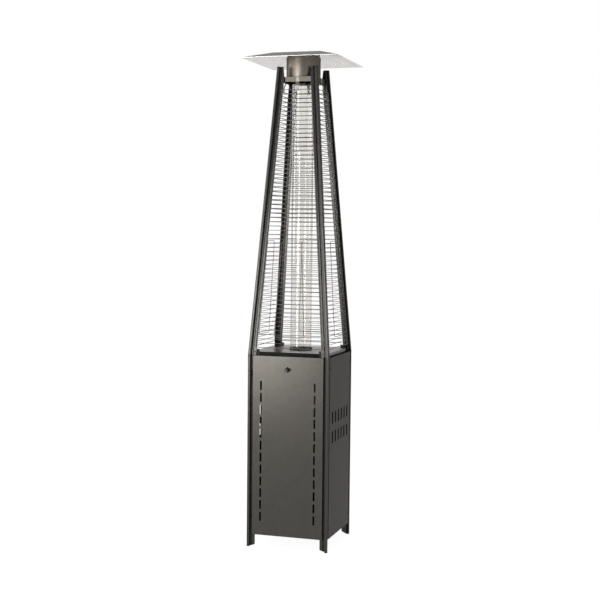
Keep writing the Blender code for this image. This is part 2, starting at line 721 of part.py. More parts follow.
def post_knuckle_mesh(z):
    """Knuckle on the post's side with its upright pin, and a leaf to the groove floor."""
    bottom = z - GAP - KNUCKLE_LENGTH
    leaf_end = -CABINET_HALF + GROOVE_DEPTH - GAP
    turned = turned_mesh([(0.0, z + KNUCKLE_LENGTH - GAP), (PIN_RADIUS, z + KNUCKLE_LENGTH - GAP),
                          (PIN_RADIUS, z - GAP), (KNUCKLE_RADIUS, z - GAP),
                          (KNUCKLE_RADIUS, bottom), (0.0, bottom)], SMALL_STEPS,
                         Matrix.Translation((HINGE_X, HINGE_Y, 0.0)))
    leaf = box_mesh((HINGE_X - LEAF_THICKNESS / 2, HINGE_Y, bottom + GAP),
                    (HINGE_X + LEAF_THICKNESS / 2, leaf_end, z - GAP * 2))
    return combine(turned, leaf, "UNION")


def add_hinges():
    heights = {"lower": FOOT_CLEARANCE + HINGE_ABOVE_FOOT, "upper": KINK_Z - HINGE_BELOW_KINK}
    for level, z in heights.items():
        add_object(level + "_hinge_post_knuckle", post_knuckle_mesh(z), BARE_STEEL)
        hang_on_door(add_object(level + "_hinge_door_knuckle", door_knuckle_mesh(z), BARE_STEEL))


def add_door_catch():
    """Magnet catch on the right front flange and the strike plate inside the door."""
    right = CABINET_HALF - POST_ARM - GAP
    left = right - CATCH_WIDTH
    inner_face = -CABINET_HALF + PANEL_FACE_DEPTH + PANEL_SHEET
    strike_front = inner_face + GAP
    strike_back = strike_front + STRIKE_SHEET
    low = CATCH_Z - CATCH_HEIGHT / 2
    high = CATCH_Z + CATCH_HEIGHT / 2
    body = box_mesh((left, strike_back + GAP, low), (right, CATCH_BACK_Y, high), PANEL_ROUND)
    add_object("magnet_catch", body, BLACK_PLASTIC)
    plate = box_mesh((left, strike_front, low), (right, strike_back, high))
    hang_on_door(add_object("door_strike", plate, BARE_STEEL))


def face_point(across, z, depth):
    """Point of the front face of the tower, at a depth behind the bead faces."""
    return Vector((across, depth - half_width(z), z))


def ladder_mesh(low_z, high_z, heavy_wires):
    """Wire guard of one face: two rails, two side wires and level wires between them."""
    depth = GUARD_DEPTH
    edge = POST_ARM - SIDE_WIRE_OVERLAP
    cross = bmesh.new()
    for z in (low_z, high_z):
        reach = half_width(z) - POST_ARM + RAIL_OVERLAP
        add_rod(cross, face_point(-reach, z, depth), face_point(reach, z, depth), RAIL_RADIUS,
                RAIL_SIDES)
    count = round((high_z - low_z) / WIRE_PITCH)
    heavy = [wire % count for wire in heavy_wires]
    for index in range(1, count):
        z = low_z + (high_z - low_z) * index / count
        reach = half_width(z) - edge
        radius = RAIL_RADIUS if index in heavy else WIRE_RADIUS
        add_rod(cross, face_point(-reach, z, depth), face_point(reach, z, depth), radius, WIRE_SIDES)
    sides = bmesh.new()
    corner_radius = SIDE_WIRE_HALF * math.sqrt(2)
    for sign in (-1, 1):
        foot = face_point(sign * (half_width(low_z) - edge), low_z, depth)
        head = face_point(sign * (half_width(high_z) - edge), high_z, depth)
        add_rod(sides, foot, head, corner_radius, SIDE_WIRE_SIDES, math.radians(45))
    return combine(welded_mesh("cross", cross), welded_mesh("sides", sides), "UNION")


def loop_mesh():
    """Closed wire loop on the outside of a lower guard, wider below."""
    depth = GUARD_DEPTH - RAIL_RADIUS - GAP - LOOP_RADIUS
    bottom_half = half_width(LOOP_BOTTOM_Z) - POST_ARM - LOOP_BOTTOM_INSET
    top_half = half_width(LOOP_TOP_Z) - POST_ARM - LOOP_TOP_INSET
    corners = [(-bottom_half, LOOP_BOTTOM_Z), (bottom_half, LOOP_BOTTOM_Z),
               (top_half, LOOP_TOP_Z), (-top_half, LOOP_TOP_Z)]
    points = []
    for index, corner in enumerate(corners):
        here = Vector(corner)
        before = (Vector(corners[index - 1]) - here).normalized() * LOOP_CORNER
        after = (Vector(corners[(index + 1) % len(corners)]) - here).normalized() * LOOP_CORNER
        for step in range(LOOP_CORNER_STEPS + 1):
            t = step / LOOP_CORNER_STEPS
            bend = here + before * (1 - t) ** 2 + after * t ** 2
            points.append(face_point(bend.x, bend.y, depth))
    return bent_wire_mesh(points, LOOP_RADIUS, closed=True, resolution=0)


def add_guards():
    makers = (
        ("upper_guard_", lambda: ladder_mesh(UPPER_GUARD_BOTTOM_Z, UPPER_GUARD_TOP_Z, ())),
        ("lower_guard_", lambda: ladder_mesh(LOWER_GUARD_BOTTOM_Z, LOWER_GUARD_TOP_Z,
                                             LOWER_GUARD_HEAVY_WIRES)),
        ("lower_guard_loop_", loop_mesh),
    )
    for prefix, maker in makers:
        for turns, place in enumerate(FACES):
            mesh = maker()
            mesh.transform(quarter_turn(turns))
            add_object(prefix + place, mesh, WIRE_CHROME)


def add_tube_parts():
    inner = TUBE_RADIUS - TUBE_WALL
    tube = [(inner, TUBE_TOP_Z), (TUBE_RADIUS, TUBE_TOP_Z), (TUBE_RADIUS, TUBE_BOTTOM_Z),
            (inner, TUBE_BOTTOM_Z), (inner, TUBE_TOP_Z)]
    add_object("glass_tube", turned_mesh(tube, ROUND_STEPS), GLASS, smooth=True)
    seat_bottom = SHELF_TOP_Z + GAP
    ledge = TUBE_BOTTOM_Z - GAP
    clear = TUBE_RADIUS + TUBE_CLEARANCE
    seat = [(clear, SEAT_TOP_Z), (SEAT_RADIUS, SEAT_TOP_Z), (SEAT_RADIUS, seat_bottom),
            (SEAT_LEDGE_RADIUS, seat_bottom), (SEAT_LEDGE_RADIUS, ledge), (clear, ledge),
            (clear, SEAT_TOP_Z)]
    add_object("tube_seat", turned_mesh(seat, ROUND_STEPS), BURNER_STEEL, smooth=True)
    collar_top = PLATE_TOP_Z - TRAY_SHEET - GAP
    collar = [(clear, collar_top), (COLLAR_RADIUS, collar_top), (COLLAR_RADIUS, COLLAR_BOTTOM_Z),
              (clear, COLLAR_BOTTOM_Z), (clear, collar_top)]
    add_object("tube_collar", turned_mesh(collar, ROUND_STEPS), BURNER_STEEL, smooth=True)


def upright_matrix():
    """Turns a flat outline of (y, z) pairs upright, its thickness along X."""
    return Matrix.Rotation(math.radians(90), 4, "Y") @ Matrix.Rotation(math.radians(90), 4, "Z")


def eared_lip_mesh(side):
    """Side lip of the top plate with two rounded ears hanging from it."""
    reach = PLATE_HALF - TRAY_SHEET - GAP * 2
    low = PLATE_TOP_Z - PLATE_LIP_HEIGHT
    top = PLATE_TOP_Z - TRAY_SHEET / 2
    above = low - EAR_CENTRE_Z
    outer = math.degrees(math.asin(above / EAR_RADIUS))
    inner = math.degrees(math.asin((above + LIP_MIDDLE_RISE) / EAR_RADIUS))
    loop = [(-reach, top), (reach, top), (reach, low + LIP_END_RISE)]
    loop += arc_points((EAR_OFFSET, EAR_CENTRE_Z), EAR_RADIUS, outer, -180 - inner, SMALL_STEPS)
    loop += arc_points((-EAR_OFFSET, EAR_CENTRE_Z), EAR_RADIUS, inner, -180 - outer, SMALL_STEPS)
    loop.append((-reach, low + LIP_END_RISE))
    middle = Matrix.Translation((side * (PLATE_HALF - LIP_SETBACK - TRAY_SHEET / 2), 0.0, 0.0))
    return outline_mesh([loop], TRAY_SHEET, middle @ upright_matrix())


def add_top_plate():
    """Square plate that carries the hood, with lips all round and four rounded ears."""
    half = PLATE_HALF
    square = [(-half, -half), (half, -half), (half, half), (-half, half)]
    hole = arc_points((0.0, 0.0), TUBE_HOLE_RADIUS, 0, 360, ROUND_STEPS)[:-1]
    middle = Matrix.Translation((0, 0, PLATE_TOP_Z - TRAY_SHEET / 2))
    mesh = outline_mesh([square, hole], TRAY_SHEET, middle)
    lips = [eared_lip_mesh(-1), eared_lip_mesh(1)]
    reach = half - TRAY_SHEET - GAP * 2
    for y in (LIP_SETBACK - half, half - LIP_SETBACK - TRAY_SHEET):
        lips.append(box_mesh((-reach, y, PLATE_TOP_Z - PLATE_LIP_HEIGHT),
                             (reach, y + TRAY_SHEET, PLATE_TOP_Z - TRAY_SHEET / 2)))
    add_object("top_plate", combine(mesh, joined(lips), "UNION"), BRONZE_PAINT)


def clip_mesh():
    """Bent strap from the top plate's lip down behind the top rail of an upper guard."""
    lip = -PLATE_HALF - GAP
    bend_z = PLATE_TOP_Z - PLATE_LIP_HEIGHT
    rail = GUARD_DEPTH + RAIL_RADIUS + GAP - half_width(UPPER_GUARD_TOP_Z)
    knee_z = (bend_z + UPPER_GUARD_TOP_Z) / 2 - GAP
    front = [(lip - CLIP_SHEET, PLATE_TOP_Z), (lip - CLIP_SHEET, bend_z), (rail, knee_z),
             (rail, CLIP_BOTTOM_Z)]
    back = [(y + CLIP_SHEET, z) for y, z in reversed(front)]
    return outline_mesh([front + back], CLIP_WIDTH, upright_matrix())


def add_guard_clips():
    for turns, place in enumerate(FACES):
        mesh = clip_mesh()
        mesh.transform(quarter_turn(turns))
        add_object("guard_clip_" + place, mesh, BARE_STEEL)


def add_hood():
    """Open hood ring: a bead under its shoulder and a narrower neck on top."""
    outer = HOOD_RADIUS
    inner = outer - HOOD_SHEET
    neck_inner = HOOD_NECK_RADIUS - HOOD_SHEET
    bottom = PLATE_TOP_Z + GAP
    bead_top = HOOD_BEAD_Z + HOOD_BEAD_HALF
    bead_low = HOOD_BEAD_Z - HOOD_BEAD_HALF
    shoulder_in = HOOD_SHOULDER_Z - HOOD_SHEET
    profile = [(neck_inner, HOOD_NECK_Z), (HOOD_NECK_RADIUS, HOOD_NECK_Z),
               (HOOD_NECK_RADIUS, HOOD_SHOULDER_Z), (outer - HOOD_ROUND, HOOD_SHOULDER_Z),
               (outer, HOOD_SHOULDER_Z - HOOD_ROUND), (outer, bead_top),
               (outer + HOOD_BEAD_PROUD, HOOD_BEAD_Z), (outer, bead_low), (outer, bottom),
               (inner, bottom), (inner, shoulder_in), (neck_inner, shoulder_in),
               (neck_inner, HOOD_NECK_Z)]
    add_object("hood", turned_mesh(profile, ROUND_STEPS), BRONZE_PAINT, smooth=True)


def add_reflector():
    """Square reflector: a flat middle and four sloping sides folded from one sheet."""
    bm = bmesh.new()
    to_corner = math.sqrt(2) / 2
    rise = REFLECTOR_TOP_Z - REFLECTOR_EDGE_Z
    middle = Matrix.Translation((0, 0, REFLECTOR_EDGE_Z + rise / 2))
    bmesh.ops.create_cone(bm, cap_ends=True, segments=4, radius1=REFLECTOR_WIDTH * to_corner,
                          radius2=REFLECTOR_PLATEAU * to_corner, depth=rise,
                          matrix=middle @ Matrix.Rotation(math.radians(45), 4, "Z"))
    underside = min(bm.faces, key=lambda face: face.calc_center_median().z)
    bmesh.ops.delete(bm, geom=[underside], context="FACES_ONLY")
    mesh = bpy.data.meshes.new("reflector")
    bm.to_mesh(mesh)
    bm.free()
    obj = bpy.data.objects.new("reflector_sheet", mesh)
    PARTS.objects.link(obj)
    sheet = obj.modifiers.new("sheet", "SOLIDIFY")
    sheet.thickness = REFLECTOR_SHEET
    sheet.offset = -1.0
    sheet.use_even_offset = True
    holes = []
    for x, y in bolt_places():
        holes.append(rod_mesh((x, y, REFLECTOR_EDGE_Z), (x, y, REFLECTOR_TOP_Z + CUT_MARGIN),
                              BOLT_HOLE_RADIUS))
    add_object("reflector", combine(evaluated_mesh(obj), joined(holes), "DIFFERENCE"), ALUMINIUM)


def bolt_places():
    return [(0.0, -BOLT_CIRCLE), (BOLT_CIRCLE, 0.0), (0.0, BOLT_CIRCLE), (-BOLT_CIRCLE, 0.0)]


def add_reflector_bolts():
    """Bolt with a sleeve below the reflector and a domed nut above it."""
    foot = HOOD_SHOULDER_Z + GAP
    under = REFLECTOR_TOP_Z - REFLECTOR_SHEET - GAP
    over = REFLECTOR_TOP_Z + GAP
    nut_top = over + NUT_HEIGHT
    profile = [(0.0, TOTAL_HEIGHT), (NUT_DOME_RADIUS / 2, TOTAL_HEIGHT - BOLT_RADIUS / 2),
               (NUT_DOME_RADIUS, nut_top), (NUT_RADIUS, nut_top), (NUT_RADIUS, over),
               (BOLT_RADIUS, over), (BOLT_RADIUS, under), (BOLT_SLEEVE_RADIUS, under),
               (BOLT_SLEEVE_RADIUS, foot), (0.0, foot)]
    for number, (x, y) in enumerate(bolt_places(), 1):
        mesh = turned_mesh(profile, BOLT_STEPS, Matrix.Translation((x, y, 0.0)))
        add_object("reflector_bolt_%d" % number, mesh, BARE_STEEL, smooth=True)


def add_burner():
    """Cup under the shelf, burner head on its stem, pilot with flame probe, and feed pipe."""
    flange_top = SHELF_TOP_Z - TRAY_SHEET - GAP
    flange_low = flange_top - CUP_SHEET
    inner = CUP_RADIUS - CUP_SHEET
    floor = CUP_BOTTOM_Z + CUP_SHEET
    cup = [(inner, flange_top), (CUP_FLANGE_RADIUS, flange_top), (CUP_FLANGE_RADIUS, flange_low),
           (CUP_RADIUS, flange_low), (CUP_RADIUS, CUP_BOTTOM_Z), (0.0, CUP_BOTTOM_Z)]
    cup_inside = [(0.0, floor), (inner, floor), (inner, flange_top)]
    add_object("burner_cup", turned_mesh(cup + cup_inside, ROUND_STEPS), BURNER_STEEL, smooth=True)
    seat = floor + GAP
    head = [(0.0, BURNER_DOME_Z), (BURNER_RADIUS / 2, BURNER_DOME_Z - BURNER_EDGE / 2),
            (BURNER_RADIUS, BURNER_RIM_Z), (BURNER_RADIUS, BURNER_RIM_Z - BURNER_EDGE),
            (BURNER_STEM_RADIUS, BURNER_RIM_Z - BURNER_EDGE), (BURNER_STEM_RADIUS, seat),
            (0.0, seat)]
    add_object("burner_head", turned_mesh(head, ROUND_STEPS), BURNER_STEEL, smooth=True)
    pilot = rod_mesh((0.0, PILOT_Y, seat), (0.0, PILOT_Y, PILOT_TOP_Z), PILOT_RADIUS)
    probe = rod_mesh((PROBE_X, PILOT_Y, seat), (PROBE_X, PILOT_Y, PROBE_TOP_Z), PROBE_RADIUS)
    bridge = box_mesh((0.0, PILOT_Y - BRIDGE_DEPTH / 2, BRIDGE_Z),
                      (PROBE_X, PILOT_Y + BRIDGE_DEPTH / 2, BRIDGE_Z + BRIDGE_HEIGHT))
    pilot_mesh = combine(joined([pilot, probe]), bridge, "UNION")
    add_object("pilot_assembly", pilot_mesh, BARE_STEEL, smooth=True)
    start_y = BRACKET_FRONT_Y + BRACKET_SHEET + GAP + VALVE_DEPTH + OUTLET_LENGTH + GAP
    end_z = CUP_BOTTOM_Z - GAP
    pipe = [(KNOB_X, start_y, KNOB_Z), (KNOB_X, -PIPE_BEND, KNOB_Z)]
    for y, z in arc_points((-PIPE_BEND, KNOB_Z + PIPE_BEND), PIPE_BEND, -90, 0, PIPE_BEND_STEPS)[1:]:
        pipe.append((KNOB_X, y, z))
    pipe.append((KNOB_X, 0.0, end_z))
    add_object("gas_pipe", bent_wire_mesh(pipe, PIPE_RADIUS, closed=False, resolution=2), BRASS,
               smooth=True)


def add_valve():
    """Gas valve behind its bracket: stem boss in front, hose inlet below, outlet behind."""
    front = BRACKET_FRONT_Y + BRACKET_SHEET + GAP
    back = front + VALVE_DEPTH
    side = VALVE_WIDTH / 2
    low = KNOB_Z - VALVE_HEIGHT / 2
    high = KNOB_Z + VALVE_HEIGHT / 2
    body = box_mesh((KNOB_X - side, front, low), (KNOB_X + side, back, high), VALVE_ROUND)
    boss = rod_mesh((KNOB_X, VALVE_BOSS_FRONT_Y, KNOB_Z), (KNOB_X, front + VALVE_ROUND, KNOB_Z),
                    VALVE_BOSS_RADIUS)
    outlet = rod_mesh((KNOB_X, back - VALVE_ROUND, KNOB_Z), (KNOB_X, back + OUTLET_LENGTH, KNOB_Z),
                      OUTLET_RADIUS)
    middle_y = (front + back) / 2
    inlet = rod_mesh((KNOB_X, middle_y, low + INLET_SINK), (KNOB_X, middle_y, low - INLET_LENGTH),
                     INLET_RADIUS)
    mesh = combine(body, joined([boss, outlet, inlet]), "UNION")
    bore = rod_mesh((KNOB_X, VALVE_BOSS_FRONT_Y - CUT_MARGIN, KNOB_Z),
                    (KNOB_X, VALVE_BORE_BOTTOM_Y, KNOB_Z), STEM_BORE_RADIUS)
    add_object("gas_valve", combine(mesh, bore, "DIFFERENCE"), BRASS)
    plate_back = BRACKET_FRONT_Y + BRACKET_SHEET
    top = SHELF_TOP_Z - TRAY_SHEET - GAP
    left = KNOB_X - BRACKET_HALF_WIDTH
    right = KNOB_X + BRACKET_HALF_WIDTH
    plate = box_mesh((left, BRACKET_FRONT_Y, BRACKET_BOTTOM_Z), (right, plate_back, top))
    flange = box_mesh((left, BRACKET_FRONT_Y + BRACKET_SHEET / 2, top - BRACKET_SHEET),
                      (right, BRACKET_FRONT_Y + BRACKET_FLANGE_DEPTH, top))
    hole = rod_mesh((KNOB_X, BRACKET_FRONT_Y - CUT_MARGIN, KNOB_Z),
                    (KNOB_X, plate_back + CUT_MARGIN, KNOB_Z), BRACKET_HOLE_RADIUS)
    bracket = combine(combine(plate, flange, "UNION"), hole, "DIFFERENCE")
    add_object("valve_bracket", bracket, BARE_STEEL)


def along_stem(mesh, obj_name, finish):
    """Places a piece on the knob's empty; its mesh is given along Z with the front at the top."""
    forward = Matrix.Rotation(math.radians(90), 4, "X")
    mesh.transform(forward)
    obj = add_object(obj_name, mesh, finish, smooth=True)
    obj.parent = KNOB_AXIS
    return obj


def add_knob():
    """Ribbed knob on its stem, and the sliding collar that carries the push movement."""
    front = CABINET_HALF + KNOB_PROUD
    rear = -KNOB_REAR_Y
    socket = -STEM_FRONT_Y + GAP
    bore = STEM_RADIUS + GAP
    profile = [(0.0, front), (KNOB_FRONT_RADIUS - KNOB_ROUND, front),
               (KNOB_FRONT_RADIUS, front - KNOB_ROUND), (KNOB_RADIUS, rear), (bore, rear),
               (bore, socket), (0.0, socket)]
    knob = turned_mesh(profile, SMALL_STEPS * 2)
    rib = box_mesh((-KNOB_RIB_WIDTH / 2, -KNOB_FRONT_RADIUS + KNOB_ROUND, front - KNOB_ROUND),
                   (KNOB_RIB_WIDTH / 2, KNOB_FRONT_RADIUS - KNOB_ROUND, front + KNOB_RIB_HEIGHT))
    along_stem(combine(knob, rib, "UNION"), "control_knob", BLACK_PLASTIC)
    stem = rod_mesh((0.0, 0.0, -STEM_REAR_Y), (0.0, 0.0, -STEM_FRONT_Y), STEM_RADIUS)
    along_stem(stem, "valve_stem", BARE_STEEL)
    near = -PUSH_COLLAR_REAR_Y
    far = -PUSH_COLLAR_FRONT_Y
    collar = [(PUSH_COLLAR_BORE, far), (PUSH_COLLAR_RADIUS, far), (PUSH_COLLAR_RADIUS, near),
              (PUSH_COLLAR_BORE, near), (PUSH_COLLAR_BORE, far)]
    along_stem(turned_mesh(collar, SMALL_STEPS), "push_collar", BARE_STEEL)


def add_tilt_switch():
    """Anti-tilt switch in its housing on the base plate."""
    wide, deep, tall = TILT_SWITCH_SIZE
    floor = FOOT_CLEARANCE + TRAY_SHEET + GAP
    low = (TILT_SWITCH_X - wide / 2, TILT_SWITCH_Y - deep / 2, floor)
    high = (TILT_SWITCH_X + wide / 2, TILT_SWITCH_Y + deep / 2, floor + tall)
    body = box_mesh(low, high, PANEL_ROUND)
    cap = rod_mesh((TILT_SWITCH_X, TILT_SWITCH_Y, floor + tall / 2),
                   (TILT_SWITCH_X, TILT_SWITCH_Y, floor + tall + TILT_CAP_HEIGHT), TILT_CAP_RADIUS)
    add_object("tilt_switch", combine(body, cap, "UNION"), BLACK_PLASTIC)


SHELF_EDGE_DEPTH = GROOVE_INNER + GAP * 2
GAP_AT_DOOR_EDGE = -PANEL_WIDTH / 2 - GAP

clear_scene()
PARTS = new_collection("patio_heater")
CUTTERS = new_collection("cutters")
DOOR_AXIS = bpy.data.objects.new("door_axis", None)
DOOR_AXIS.location = (HINGE_X, HINGE_Y, 0.0)
PARTS.objects.link(DOOR_AXIS)
KNOB_AXIS = bpy.data.objects.new("knob_axis", None)
KNOB_AXIS.location = (KNOB_X, 0.0, KNOB_Z)
PARTS.objects.link(KNOB_AXIS)

add_posts()
add_corner_angles()
add_base_plate()
add_burner_shelf()
add_panels()
add_front_door()
add_hinges()
add_door_catch()
add_guards()
add_tube_parts()
add_top_plate()
add_guard_clips()
add_hood()
add_reflector()
add_reflector_bolts()
add_burner()
add_valve()
add_knob()
add_tilt_switch()
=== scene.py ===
import json
import math

import bmesh
import bpy
from mathutils import Matrix, Vector


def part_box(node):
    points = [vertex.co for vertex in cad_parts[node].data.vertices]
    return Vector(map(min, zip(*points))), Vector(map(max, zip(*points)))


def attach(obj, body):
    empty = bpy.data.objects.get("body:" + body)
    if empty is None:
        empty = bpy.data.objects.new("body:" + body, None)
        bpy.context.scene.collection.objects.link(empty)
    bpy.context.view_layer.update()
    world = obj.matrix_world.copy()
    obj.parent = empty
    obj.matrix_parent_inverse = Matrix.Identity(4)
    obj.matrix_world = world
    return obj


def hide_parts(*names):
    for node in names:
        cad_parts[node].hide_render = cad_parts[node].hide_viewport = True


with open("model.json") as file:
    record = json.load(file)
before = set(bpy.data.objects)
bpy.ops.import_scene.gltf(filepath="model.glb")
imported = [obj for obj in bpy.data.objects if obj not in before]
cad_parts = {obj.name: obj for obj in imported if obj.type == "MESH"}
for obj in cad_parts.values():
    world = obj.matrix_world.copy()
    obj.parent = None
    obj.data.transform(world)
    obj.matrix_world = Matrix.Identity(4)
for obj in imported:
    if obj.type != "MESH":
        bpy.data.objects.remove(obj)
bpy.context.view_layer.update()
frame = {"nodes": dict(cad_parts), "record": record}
NODES = frame["nodes"]

# Camera, fitted to the photograph
CAMERA_AZIMUTH = math.radians(17.6)
CAMERA_DISTANCE = 5.76
CAMERA_HEIGHT = 1.4755
CAMERA_PITCH = math.radians(3.29)
CAMERA_YAW = math.radians(0.063)
CAMERA_ROLL = math.radians(0.55)
CAMERA_LENS = 73.4
SENSOR_WIDTH = 36.0

# Tower, as in the CAD model
FACES = ("front", "right", "rear", "left")
KINK_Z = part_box("upper_post_front_left")[0][2]
POST_TOP_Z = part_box("upper_post_front_left")[1][2]
CABINET_HALF = -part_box("lower_post_front_left")[0][0]
TOWER_TOP_HALF = 0.0978
LEAN = (CABINET_HALF - TOWER_TOP_HALF) / (POST_TOP_Z - KINK_Z)
POST_ARM = 0.038
FLANGE_DEPTH = 0.009
FLANGE_MIDDLE = 0.031
PANEL_FACE_DEPTH = 0.0005

# Wires of the guards
RAIL_RADIUS = 0.0016
UPPER_WIRE_RADIUS = 0.0018
LOWER_WIRE_RADIUS = 0.0013
WIRE_PITCH = 0.020
WIRE_BEVEL_STEPS = 3
SIDE_WIRE_OVERLAP = 0.005
WIRE_OVERHANG = 0.002
RAIL_OVERLAP = 0.010
HEAVY_WIRES = (3, 26)
GAP = 0.0003
GUARD_DEPTH = FLANGE_DEPTH - GAP - RAIL_RADIUS

# Closed loops in front of the lower guards' wires
LOOP_RADIUS = 0.0014
LOOP_CORNER = 0.016
LOOP_CORNER_STEPS = 8
LOOP_ABOVE_LOW_RAIL = 0.050
LOOP_BELOW_HIGH_RAIL = 0.068
LOOP_BOTTOM_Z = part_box("lower_guard_front")[0][2] + RAIL_RADIUS + LOOP_ABOVE_LOW_RAIL
LOOP_TOP_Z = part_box("lower_guard_front")[1][2] - RAIL_RADIUS - LOOP_BELOW_HIGH_RAIL
LOOP_BOTTOM_WIDTH = 0.143
LOOP_TOP_WIDTH = 0.094

# Glass tube
TUBE_WALL = 0.0025
TUBE_LIP = TUBE_WALL * 0.5
TUBE_BEND = TUBE_LIP * 0.3
TUBE_END_RINGS = 5
TUBE_STEPS = 96

# Hood
HOOD_WALL = 0.001
HOOD_BEAD_REACH = 0.0013
HOOD_BEAD_HALF_HEIGHT = 0.0025
HOOD_BEAD_DROP = 0.011
HOOD_BEAD_ARCS = 8
HOOD_NECK_INSET = 0.0085
HOOD_NECK_HEIGHT = 0.005
HOOD_NECK_FILLET = (0.0008, 0.0010)
HOOD_SHOULDER_RADIUS = 0.0025
HOOD_SHOULDER_ARCS = 6
HOOD_RIM_ROLL = 0.0004
HOOD_FOOT_ROLL = 0.0008
HOOD_STEPS = 128

# Control knob: face rings are (share of radius, drop below the face, rib share), side rings are
# (share of radius, share of length, rib share)
KNOB_FACE_RINGS = ((0.50, 0.0004, 0.0), (0.70, 0.0, 0.0), (0.80, 0.0002, 0.3), (0.88, 0.0012, 1.0))
KNOB_SIDE_RINGS = ((0.93, 0.35, 1.0), (0.94, 0.28, 0.0), (1.0, 0.24, 0.0))
KNOB_FOOT_ROLL = 0.0006
KNOB_RIBS = 18
KNOB_RIB_DEPTH = 0.0007
KNOB_STEPS = 144
POINTER_HEIGHT = 0.0006
POINTER_WIDTH = 0.0012
POINTER_PLACE_SHARE = 0.40
POINTER_LENGTH_SHARE = 0.62

# Screws: rings are (share of radius, height), and the tip of the recess is (radius, height)
SCREW_RINGS = ((1.35, 0.0), (1.35, 0.0004), (1.0, 0.0005), (1.0, 0.0011), (0.8, 0.0018),
               (0.45, 0.0021), (0.40, 0.0012))
SCREW_RECESS_TIP = (0.00001, 0.0011)
SCREW_SIDES = 12
PANEL_SCREW_RADIUS = 0.0032
PANEL_SCREW_INSET = 0.007
PANEL_SCREW_SHARES = (0.06, 0.5, 0.94)
JOINT_SCREW_RADIUS = 0.0030
JOINT_SCREW_Z = KINK_Z + 0.016

SHARP_ANGLE = math.radians(40)
KNOB_SHARP_ANGLE = math.radians(35)
WELD_DISTANCE = 0.000001

# Textures: scales are in waves per metre, heights and radii in metres
FLAKE_SCALE = 1400.0
MOTTLE_SCALE = 95.0
MOTTLE_DARKEST = 0.86
PAINT_CLOUD_SCALE = 9.0
PEEL_SCALE = 420.0
PEEL_HEIGHT = 0.0004
GRAIN_HEIGHT = 0.0002
PAINT_SPECULAR_TINT = 0.4
# Lighter edge tone: partly wear and partly a painted highlight along sharp edges
WEAR_AND_HIGHLIGHT_RADIUS = 0.0018
WEAR_AND_HIGHLIGHT_PATCH_SCALE = 60.0
WEAR_AND_HIGHLIGHT_PATCH_LOW = 0.25
SHARP_EDGE_DOT = 0.86
FLAT_DOT = 0.985
# Occlusion levels between which grooves take their painted shade
HOLLOW_CLOSED = 0.25
HOLLOW_OPEN = 0.85
SHADER_SAMPLES = 4
GRAIN_ALONG_Y = (1.0, 0.03, 1.0)
WHITE = (1.0, 1.0, 1.0)

# Sockets of the Mix node, which have the same name for every type of value
MIX_SHARE = 0
MIX_FLOATS = (2, 3)
MIX_COLOURS = (6, 7)
MIX_COLOUR_OUT = 2

# Floor and world
FLOOR_SIZE = 60.0
FLOOR_DROP = 0.0005
FLOOR_GREY = 0.86
FLOOR_ROUGHNESS = 0.9
FLOOR_SPECULAR = 0.1
FLOOR_GLOW = 1.12
FLOOR_GLOW_SHARE = 0.85
MIRRORED_LEFT_RIGHT = (1.0, 0.63)
MIRRORED_X_RANGE = (-0.35, 0.3)
MIRRORED_LOW_HIGH = (1.0, 0.38)
MIRRORED_Z_RANGE = (0.15, 0.4)
WORLD_LEVEL = 0.38
SEEN_LEVEL = 1.0

# Softboxes: name, place, point that it faces, width, height, watts
SOFTBOXES = (
    ("key", (-1.85, -3.70, 0.92), (0.0, 0.0, 0.95), 1.5, 1.27, 52.0),
    ("upper_key", (-1.22, -3.75, 1.56), (0.0, 0.0, 1.2), 1.2, 1.05, 30.0),
    ("left", (-2.6, -2.6, 2.6), (0.0, 0.0, 1.6), 1.8, 1.4, 36.0),
    ("rim", (-3.5, -0.5, 2.2), (0.0, 0.0, 1.7), 1.2, 2.0, 34.0),
    ("fill", (3.2, -2.6, 1.8), (0.0, 0.0, 1.0), 1.4, 2.4, 10.0),
    ("top", (0.0, -0.6, 4.6), (0.0, 0.0, 1.0), 2.6, 2.6, 50.0),
)


def quarter_turn(count):
    return Matrix.Rotation(math.radians(90) * count, 4, "Z")


def half_width(z):
    """Half the width of the cabinet or tower at a height."""
    return CABINET_HALF - LEAN * max(0.0, z - KINK_Z)


def grey(level):
    return (level, level, level)


def new_material(name):
    material = bpy.data.materials.new(name)
    material.use_nodes = True
    tree = material.node_tree
    return material, tree, tree.nodes["Principled BSDF"]


def add_node(tree, kind, inputs=None, **settings):
    node = tree.nodes.new(kind)
    for key, value in settings.items():
        setattr(node, key, value)
    for key, value in (inputs or {}).items():
        node.inputs[key].default_value = value
    return node


def object_noise(tree, scale, detail=4.0, roughness=0.5, stretch=(1.0, 1.0, 1.0)):
    """Noise over the object's own coordinates, which are metres in this frame."""
    coords = add_node(tree, "ShaderNodeTexCoord")
    mapping = add_node(tree, "ShaderNodeMapping", {"Scale": stretch})
    noise = add_node(tree, "ShaderNodeTexNoise",
                     {"Scale": scale, "Detail": detail, "Roughness": roughness})
    tree.links.new(coords.outputs["Object"], mapping.inputs["Vector"])
    tree.links.new(mapping.outputs["Vector"], noise.inputs["Vector"])
    return noise.outputs["Fac"]


def remap(tree, source, low, high, from_low=0.3, from_high=0.7):
    node = add_node(tree, "ShaderNodeMapRange", {"From Min": from_low, "From Max": from_high,
                                                 "To Min": low, "To Max": high})
    tree.links.new(source, node.inputs["Value"])
    return node.outputs["Result"]


def colour_ramp(tree, source, dark, light, low=0.35, high=0.65):
    """The dark colour up to the low value of the source, and the light one from its high value."""
    node = add_node(tree, "ShaderNodeValToRGB")
    stops = ((low, dark), (high, light))
    for element, (position, colour) in zip(node.color_ramp.elements, stops):
        element.position = position
        element.color = (*colour, 1.0)
    tree.links.new(source, node.inputs["Fac"])
    return node.outputs["Color"]


def calculated(tree, operation, first, second):
    node = add_node(tree, "ShaderNodeMath", operation=operation)
    tree.links.new(first, node.inputs[0])
    tree.links.new(second, node.inputs[1])
    return node.outputs[0]


